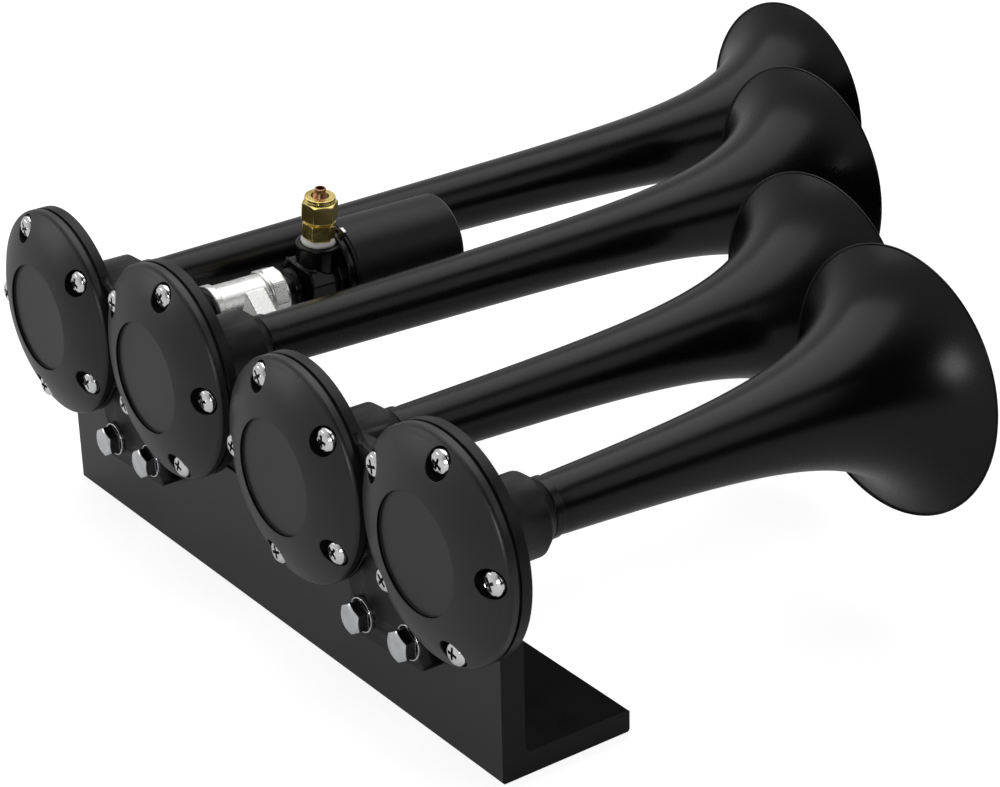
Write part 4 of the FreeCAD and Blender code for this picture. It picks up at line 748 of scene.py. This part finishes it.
# %% A hexagon or octagon with turned corners
def polygon(sides, flats, low, high, where, first=0.0, cone=(0.5, 0.5), face=0.93, hole=None):
    """Skin of a prism whose first corner stands at first degrees.

    Its outline is flats / 2 / cos b. The flat face inside the bevel reaches
    out to face times half the flats, and cone is the bevel's slope at the low
    and at the high end. With a hole, the skin is a ring.
    """
    half = np.pi / sides
    part = half * np.array([-1, -0.972, -0.945, -0.87, -0.5, 0, 0.5, 0.87, 0.945, 0.972])
    a = (np.radians(first) + half + 2 * half * np.arange(sides)[:, None] + part).ravel()
    b = np.tile(part, sides)
    reach = flats / 2 / np.maximum(np.cos(b), np.cos(0.945 * half))
    face = face * flats / 2
    ends = []
    for level, slope, way in ((high, cone[1], -1), (low, cone[0], 1)):
        drop = slope * np.maximum(reach - face, 0) + 0.12
        rows = [(face * 0.8, 0), (face - 0.12, 0), (face + 0.12, 0.5 * slope * 0.24)]
        rows = [(np.full_like(a, r), np.full_like(a, level + way * d)) for r, d in rows]
        for inset, more in ((0.14, -0.1), (0.04, -0.02), (0, 0.12), (0, 0.4)):
            rows.append((reach - inset, level + way * (drop + more)))
        ends.append(rows)
    first_row, last_row = [(a * 0 + (hole or 0), a * 0 + level) for level in (high, low)]
    rows = [first_row, *ends[0], *ends[1][::-1], last_row]
    radius, height = (np.stack(row) for row in zip(*rows))
    return put(where, radius * np.cos(a), radius * np.sin(a), height), hole is not None, True


# %% [markdown]
# ## Lug bolts, washers and nuts
#
# Four bolts clamp the housings' lugs to the bracket's leg, each with a washer
# in front and a washer and a nut behind. The photograph shows each front washer
# as a bright ring round a dark disc, and the sides of the bolts' heads darker
# than their faces, so both are made in parts that take two finishes; the dark
# disc and the dark sides are painted shade.

# %% Profiles of bolts and washers
BOLT_ACROSS, BOLT_DOWN = 16.5, -53.5
WASHER, WASHER_HOLE, WASHER_WALL = 7.5, 3.1, 1.5
WASHER_FRONT, DISC, DISC_FACE = LUG_FACE - WASHER_WALL, 6.8, LUG_FACE - 1.2
BOLT_TOP, BOLT_END, BOLT_RADIUS = LUG_FACE - 7.2, LEG_BACK + 9.5, 3

shank = rounded(
    [(0, LUG_FACE - 3), (BOLT_RADIUS, LUG_FACE - 3), (BOLT_RADIUS, BOLT_END), (0, BOLT_END)],
    [0, 0, 0.5, 0], 3)
in_and_out = BOLT_RADIUS - 0.22 * (np.arange(41) % 2)
thread = np.stack([in_and_out, LEG_BACK + 5.4 + 3.4 * np.linspace(0, 1, 41)], 1)
shank = np.concatenate([shank[:-5], thread, [(2.5, BOLT_END), (0, BOLT_END)]])
washer = rounded(
    [(WASHER_HOLE, WASHER_FRONT), (WASHER, WASHER_FRONT),
     (WASHER, LUG_FACE), (WASHER_HOLE, LUG_FACE)],
    0.3, 3, closed=True)
bright_ring = rounded(
    [(DISC, DISC_FACE), (7.0, LUG_FACE - 1.6), (WASHER, WASHER_FRONT), (WASHER, LUG_FACE),
     (WASHER_HOLE, LUG_FACE)],
    [0, 0.1, 0.25, 0.3, 0], 3)
painted_shade_disc = [(DISC, DISC_FACE), (WASHER_HOLE, DISC_FACE), (WASHER_HOLE, LUG_FACE)]
print("bolts from", BOLT_TOP, "to", BOLT_END, "mm along Y, washers", 2 * WASHER, "mm wide")

# %% Lug bolts
bolts, washers, back_washers, nuts = [], [], [], []
for x, z, tilt in (LEFT, RIGHT):
    for across in (-BOLT_ACROSS, BOLT_ACROSS):
        spot = place(tilted_place(x, z, tilt, across, BOLT_DOWN)[0])
        head = polygon(6, 12.2, BOLT_TOP, WASHER_FRONT, spot, 90, (0.5, 0.0), face=0.92)
        # the side rows of each head, number 1, take painted shade
        bolts += parts_of(head, (7, 8), (0, 1, 0))
        bolts.append(solid(shank, spot, 32))
        washers.append((turned(bright_ring, spot, 64), False, True))
        # the washer's inner disc takes the recesses' painted shade
        washers.append((turned(painted_shade_disc, spot, 64), False, True, 1))
        back_washers.append(ring(washer + [0, LEG_BACK + WASHER_WALL - LUG_FACE], spot, 64))
        nuts.append(polygon(6, 11.1, LEG_BACK + WASHER_WALL, LEG_BACK + 7.0, spot, 90 - tilt,
                            (0.0, 0.5), face=0.9, hole=2.9))
build("lug_bolts_skin", bolts, (zinc, zinc_painted_shade), "bright_bolts", "lug_bolts", crease=35)
build("lug_washers_skin", washers, (zinc, painted_recess_shade), "bright_bolts", "lug_washers")
build("back_washers_skin", back_washers, zinc, "bright_bolts", "back_washers")
build("lug_nuts_skin", nuts, zinc, "bright_bolts", "lug_nuts", crease=35)

# %% [markdown]
# ## The inlet tee
#
# A small casting: a round run with a band at its inlet, an octagon for the
# spanner at its valve end and another on the slanted branch. The octagons keep
# crisp edges, which a union by remesh would blur. So the closed surfaces just
# stand in each other, in one mesh, with a low limit for its sharp edges.

# %% Tee
tee_run = rounded(
    [(0, 4.5), (12.4, 4.5), (12.4, 8.2), (11.2, 8.2), (11.2, 38), (0, 38)],
    [0, 0.7, 0.5, 0.5, 0, 0], 4)
end_band = rounded(
    [(0, 32), (11.8, 32), (12.2, 33), (12.2, 41.2), (11.6, 42.0), (0, 42.0)],
    [0, 0.5, 0.8, 0.5, 0.4, 0], 4)
build("inlet_tee_skin", [
    solid(tee_run, TEE),
    solid(end_band, TEE),
    polygon(8, 24.6, 33.4, 40.8, TEE, 0, (0.3, 0.3), face=0.93),
    polygon(8, 24.0, 1, 20.5, BRANCH, 22.5, (0.0, 0.3), face=0.9),
], nickel, "plated_tee", "inlet_tee", crease=24)

# %% [markdown]
# ## The valve
#
# The body is a block with bevelled long edges, a round boss on top for the
# fitting and a round neck against the coil. Its paint is thick, so the parts
# flow into each other. The closed surfaces are put together, a voxel remesh
# makes one skin of them, and a few rounds of smoothing soften the corners.


# %% One cast skin from several closed ones
def cast(name, skins, voxel, rounds, *dressing):
    """Union by voxel remesh, with voxels of so many mm, then rounds of smoothing, both baked in."""
    mesh = mesh_of(name, skins)
    rough = bpy.data.objects.new(name + "_rough", mesh)
    bpy.context.scene.collection.objects.link(rough)
    remesh = rough.modifiers.new("union", "REMESH")
    remesh.mode = "VOXEL"
    remesh.voxel_size = voxel * MM
    soften = rough.modifiers.new("soften", "SMOOTH")
    soften.factor, soften.iterations = 0.5, rounds
    bpy.context.view_layer.update()
    graph = bpy.context.evaluated_depsgraph_get()
    whole = bpy.data.meshes.new_from_object(rough.evaluated_get(graph))
    whole.name = name
    bpy.data.objects.remove(rough)
    whole.shade_smooth()
    return dress(name, whole, *dressing)


# %% A block from its outline
def block(outline, low, high, where, round_off=0.8):
    """Skin of a prism whose outline shrinks to 1 - inset / size of itself at its ends."""
    outline = rounded(outline, 0.9, 4, closed=True)
    middle = outline.mean(0)
    size = np.abs(outline - middle).max()
    a = np.radians([0, 30, 60, 90])
    inset = round_off * (1 - np.cos(a)) / size
    step = round_off * (1 - np.sin(a))
    scale = np.concatenate([[0], 1 - inset, 1 - inset[::-1], [0]])
    height = np.concatenate([[low], low + step, high - step[::-1], [high]])
    points = middle + (outline - middle) * scale[:, None, None]
    return put(where, points[..., 0], points[..., 1], height[:, None]), False, True


# %% Valve
VOXEL, ROUNDS = 0.4, 3
BLOCK = [
    (-10, -15), (10, -15), (14, -9.3), (14, 5.8), (10, 11.5), (-10, 11.5), (-14, 5.8), (-14, -9.3)]
boss = rounded(
    [(0, 0), (10.5, 0), (10.5, 21), (7.2, 21), (7.2, 20.0), (0, 20.0)],
    [0, 0, 1.0, 0.3, 0, 0], 5)
neck = rounded([(0, 68.4), (20.2, 68.4), (20.2, 72.4), (0, 72.4)], [0, 0.7, 0.5, 0], 4)
cast("valve_body_skin", [
    block(BLOCK, 52.0, 72.0, VALVE),
    solid(boss, FITTING),
    solid(neck, COIL, 144),
], VOXEL, ROUNDS, valve_black, "valve_paint", "valve_body")

# %% [markdown]
# ## Coil, plate and nut
#
# The coil is potted in a round can. A black plate with a small bright zinc tab
# stands between it and the valve's body, and a nut holds it from behind. The
# can's grid is cut at the rows of its rear round, which take a paler finish as
# a painted highlight.

# %% Coil
CAN, CAN_FRONT, CAN_BACK = 22, 73.0, 130.7
# rows of the can's rear round, which take the painted highlight
HIGHLIGHT_ROWS = (11, 17)
can = rounded(
    [(0, CAN_FRONT), (CAN, CAN_FRONT), (CAN, CAN_BACK), (9, CAN_BACK), (9, CAN_BACK - 0.8),
     (0, CAN_BACK - 0.8)],
    [0, 0.6, 1.1, 0.3, 0, 0], 6)
build("coil_housing_skin", parts_of(solid(can, COIL, 144), HIGHLIGHT_ROWS, (0, 1, 0)),
      (coil_black, coil_painted_highlight), "coil_plastic", "coil_housing")
plate = rounded([(0, 71.8), (21.4, 71.8), (21.4, 73.3), (0, 73.3)], [0, 0.25, 0.25, 0], 3)
tab = [(3.4, 15), (7.6, 15), (7.6, 22.6), (3.4, 23.4)]
build("coil_plate_skin", [solid(plate, COIL, 144)], coil_black, "coil_steel", "coil_plate")
build("plate_tab", [block(tab, 71.6, 73.4, COIL, 0.2)], zinc, "coil_steel")
stem = rounded([(0, 130), (8, 130), (8, 136.7), (0, 136.7)], [0, 0, 0.6, 0], 4)
coil_nut = polygon(6, 19, CAN_BACK, 136.6, COIL, 82, (0.0, 0.5))
build("coil_nut_skin", [coil_nut, solid(stem, COIL, 64)],
      valve_black, "valve_paint", "coil_nut", crease=35)

# %% [markdown]
# ## The brass fitting
#
# From the boss upward: white thread tape, the fitting's hexagon, a ring of
# bare thread, the nut with its round top, and the copper insert that the air
# line slides on. Heights are above the tee's axis, along the turned upright.
# The tape was wound by hand, so three sines make its edges wander.

# %% Tape
TAPE_INSIDE = 6.2
tape = rounded(
    [(TAPE_INSIDE, 20.6), (8.0, 20.9), (8.3, 22.0), (7.6, 23.2), (TAPE_INSIDE, 23.5)],
    [0, 0.5, 0.8, 0.5, 0], 4)
a = np.linspace(0, 2 * np.pi, 120, endpoint=False)
wave = 0.16 * np.sin(3 * a + 1) + 0.1 * np.sin(7 * a) + 0.07 * np.sin(13 * a + 2)
loose = np.clip(tape[:, 0] - TAPE_INSIDE, 0, 1)[:, None, None]
tape_grid = turned(tape, FITTING, len(a)) + (wave[:, None] * FITTING[3]) * loose
build("thread_tape_skin", [(tape_grid, True, True)], tape_white, "thread_tape", "thread_tape")

# %% Fitting, nut and insert
THREAD, THREAD_DEPTH, HALF_TURN = 6.0, 0.25, 0.45
crests = [(THREAD - THREAD_DEPTH * (k % 2), 22.6 + HALF_TURN * k) for k in range(30)]
fitting_hexagon = polygon(6, 13.5, 23, 31.6, FITTING, -5, (0.5, 0.5), face=0.9)
build("fitting_body_skin", [fitting_hexagon, solid([(0, 22.5), *crests, (0, 36)], FITTING, 64)],
      brass, "fitting_brass", "fitting_body", crease=35)
cap = rounded(
    [(4.2, 40), (7.1, 40), (7.1, 42.5), (6.8, 42.8), (7.1, 43.1), (7.1, 44.2), (4.2, 44.2)],
    [0, 0, 0.15, 0.1, 0.15, 0.4, 0.35], 4)
fitting_nut = polygon(6, 14.9, 32.2, 41.9, FITTING, -11, (0.5, 0.5), face=0.9, hole=6.2)
build("fitting_nut_skin", [fitting_nut, ring(cap, FITTING, 96)],
      brass, "fitting_brass", "fitting_nut", crease=35)
insert = rounded(
    [(1.9, 36.9), (3.7, 36.9), (3.7, 43.8), (2.6, 45.8), (2.6, 48.0), (1.9, 48.0)],
    [0, 0, 0.5, 0.5, 0.2, 0.15], 5)
build("tube_insert_skin", [ring(insert, FITTING, 64)], copper, "insert_copper", "tube_insert")

# %% [markdown]
# ## Cross pipe and elbow
#
# The pipe comes down from the tee, runs level under two trumpets and goes up
# to the second housing's elbow. Its line is four points with rounded bends,
# and a circle is carried along it, square to the line everywhere.


# %% Pipe
def tube(line, outer, inner, around=40):
    """Circles along a line and back inside it: side = way x Y, and third = side x way."""
    way = np.gradient(line, axis=0)
    way /= np.linalg.norm(way, axis=1)[:, None]
    side = np.cross(way, [0, 1, 0])
    side /= np.linalg.norm(side, axis=1)[:, None]
    third = np.cross(side, way)
    a = np.linspace(0, 2 * np.pi, around, endpoint=False)[:, None]
    circle = np.cos(a) * side[:, None] + np.sin(a) * third[:, None]
    outside, inside = line[:, None] + outer * circle, line[:, None] + inner * circle
    return np.concatenate([outside, inside[::-1]]), True, True


PIPE, PIPE_BORE, BEND = 5.0, 4.0, 22
ROUTE = [
    (-91.96, BRANCH_Y, 90.75), (-52.33, BRANCH_Y, 57.5),
    (52.33, ELBOW_Y, 56.5), (91.96, ELBOW_Y, 89.75)]
build("cross_pipe_skin", [tube(rounded(ROUTE, BEND, 20), PIPE, PIPE_BORE)],
      pipe_black, "pipe_paint", "cross_pipe")
for side, where in (("left", BRANCH), ("right", ELBOW)):
    nut = polygon(6, 17, 20.5, 29.5, where, 30, (0.3, 0.5), face=0.9, hole=PIPE)
    build(f"pipe_nut_{side}_skin", [nut],
          brass, "fitting_brass", f"pipe_nut_{side}", crease=35)

# %% Elbow
elbow_body = rounded(
    [(0, -32), (6.5, -32), (6.5, -16.1), (8.2, -16.1), (8.2, 1.1), (0, 1.1)],
    [0, 0.4, 0, 0.5, 2.5, 0], 5)
elbow_arm = rounded(
    [(0, -2), (8.2, -2), (8.2, 20.5), (5, 20.5), (0, 20.5)], [0, 0, 0.4, 0, 0], 4)
cast("port_elbow_skin", [solid(elbow_body, place(RIGHT_PORT)), solid(elbow_arm, ELBOW)],
     VOXEL, ROUNDS, brass, "fitting_brass", "port_elbow")

# %% [markdown]
# ## Floor, light and camera
#
# The photograph is a product picture on white, lit from the upper left, with a
# dark side to the right. Black plastic shows its surroundings, so the studio's
# own brightness matters most: white backdrop and floor, a wide lamp above on
# the left, a small one in front, and little light from the right.


# %% Lamps
def lamp(name, spot, target, size, power):
    """Square area lamp that faces its target."""
    data = bpy.data.lights.new(name, "AREA")
    data.shape, data.size, data.energy = "SQUARE", size, power
    light = bpy.data.objects.new(name, data)
    light.location = spot
    light.rotation_euler = (Vector(target) - Vector(spot)).to_track_quat("-Z", "Y").to_euler()
    bpy.context.scene.collection.objects.link(light)


lamp("overhead", (-0.3, 0.35, 1.3), (0, 0.1, 0.08), 1.5, 9)
lamp("rear_right", (0.95, 0.75, 0.85), (0.1, 0.1, 0.1), 0.7, 1.3)
lamp("front_small", (0.885, -0.87, 0.45), (0.19, 0.18, 0.123), 0.34, 2.8)
lamp("fill_left", (-1.3, -1.2, 0.7), (0, 0, 0.1), 0.8, 3)
print("lamps:", [light.name for light in bpy.data.lights])

# %% [markdown]
# The world is plain white to the camera. To the object it is a grey that fades
# to dark on one side: the dot product of the direction with the dark side's
# own direction says how far round one looks.

# %% World
DARK_SIDE = (0.82, -0.02, 0.48)
FADE_FROM, FADE_TO, BRIGHT, DARK = 0.25, 0.85, 0.48, 0.01
world = bpy.data.worlds.new("studio")
bpy.context.scene.world = world
world.use_nodes = True
nodes, link = world.node_tree.nodes, world.node_tree.links.new
nodes.clear()
out = nodes.new("ShaderNodeOutputWorld")
direction = nodes.new("ShaderNodeTexCoord")
dot = nodes.new("ShaderNodeVectorMath")
dot.operation = "DOT_PRODUCT"
dot.inputs[1].default_value = unit(DARK_SIDE)
link(direction.outputs["Generated"], dot.inputs[0])
shadow_side = nodes.new("ShaderNodeMapRange")
shadow_side.interpolation_type = "SMOOTHSTEP"
fade = {"From Min": FADE_FROM, "From Max": FADE_TO, "To Min": BRIGHT, "To Max": DARK}
for socket, value in fade.items():
    shadow_side.inputs[socket].default_value = value
link(dot.outputs["Value"], shadow_side.inputs["Value"])
seen = nodes.new("ShaderNodeBackground")
around = nodes.new("ShaderNodeBackground")
link(shadow_side.outputs["Result"], around.inputs["Strength"])
path = nodes.new("ShaderNodeLightPath")
mix = nodes.new("ShaderNodeMixShader")
for background in (seen, around):
    background.inputs["Color"].default_value = (1, 1, 1, 1)
link(path.outputs["Is Camera Ray"], mix.inputs[0])
link(around.outputs[0], mix.inputs[1])
link(seen.outputs[0], mix.inputs[2])
link(mix.outputs[0], out.inputs["Surface"])
print("world:", len(nodes), "nodes")

# %% [markdown]
# The floor is pale paper. Seen by the camera it adds its own glow, so that it
# turns white and keeps only the object's shadow; metal and gloss see a quarter
# of that glow.

# %% Floor
FLOOR_HALF, PAPER, GLOW, GLOW_IN_GLOSS = 4, 0.50, 0.82, 0.24
floor_mesh = bpy.data.meshes.new("floor")
corners = [(x * FLOOR_HALF, y * FLOOR_HALF, 0) for x, y in ((-1, -1), (1, -1), (1, 1), (-1, 1))]
floor_mesh.from_pydata(corners, [], [(0, 1, 2, 3)])
floor = bpy.data.objects.new("floor", floor_mesh)
bpy.context.scene.collection.objects.link(floor)
paper = bpy.data.materials.new("white_paper")
paper.use_nodes = True
floor_mesh.materials.append(paper)
nodes, link = paper.node_tree.nodes, paper.node_tree.links.new
base = nodes["Principled BSDF"]
base.inputs["Base Color"].default_value = (*grey(PAPER), 1)
base.inputs["Roughness"].default_value = 0.9
base.inputs["Specular IOR Level"].default_value = 0.0
glow = nodes.new("ShaderNodeEmission")
glow.inputs["Color"].default_value = (*grey(GLOW), 1)
path = nodes.new("ShaderNodeLightPath")
add = nodes.new("ShaderNodeAddShader")
reflected = nodes.new("ShaderNodeMath")
reflected.operation = "MAXIMUM"
link(path.outputs["Is Glossy Ray"], reflected.inputs[0])
link(path.outputs["Is Transmission Ray"], reflected.inputs[1])
strength = nodes.new("ShaderNodeMath")
strength.operation = "MULTIPLY_ADD"
strength.inputs[1].default_value = GLOW_IN_GLOSS
link(reflected.outputs["Value"], strength.inputs[0])
link(path.outputs["Is Camera Ray"], strength.inputs[2])
link(strength.outputs["Value"], glow.inputs["Strength"])
link(base.outputs[0], add.inputs[0])
link(glow.outputs[0], add.inputs[1])
link(add.outputs[0], nodes["Material Output"].inputs["Surface"])
print("floor:", 2 * FLOOR_HALF, "m square")

# %% [markdown]
# The camera stands where the photograph was taken. Its angles, distance and
# lens were fitted to points that show on both: back points from the middle of
# the picture to the camera, and the roll turns the other two directions.

# %% Camera
AZIMUTH, ELEVATION, ROLL = np.radians((54.186, 24.877, -1.362))
LOOK_AT, DISTANCE, FOCAL = (129.086, 0, 141.632), 0.981485, 94.03
level = np.cos(ELEVATION)
back = np.array([np.sin(AZIMUTH) * level, -np.cos(AZIMUTH) * level, np.sin(ELEVATION)])
right = unit(np.cross(-back, (0, 0, 1)))
up = np.cross(right, -back)
right, up = np.cos(ROLL) * right + np.sin(ROLL) * up, np.cos(ROLL) * up - np.sin(ROLL) * right
eye = np.array(LOOK_AT) * MM + DISTANCE * back
lens = bpy.data.cameras.new("camera")
lens.lens, lens.sensor_width, lens.sensor_fit = FOCAL, 36.0, "HORIZONTAL"
lens.clip_start, lens.clip_end = 0.01, 50
camera = bpy.data.objects.new("camera", lens)
turn = np.eye(4)
turn[:3, 0], turn[:3, 1], turn[:3, 2], turn[:3, 3] = right, up, back, eye
camera.matrix_world = Matrix(turn.tolist())
bpy.context.scene.collection.objects.link(camera)
bpy.context.scene.camera = camera
bpy.context.scene.view_settings.view_transform = "Standard"
print("camera at", np.round(eye, 3).tolist(), "m, lens", FOCAL, "mm")
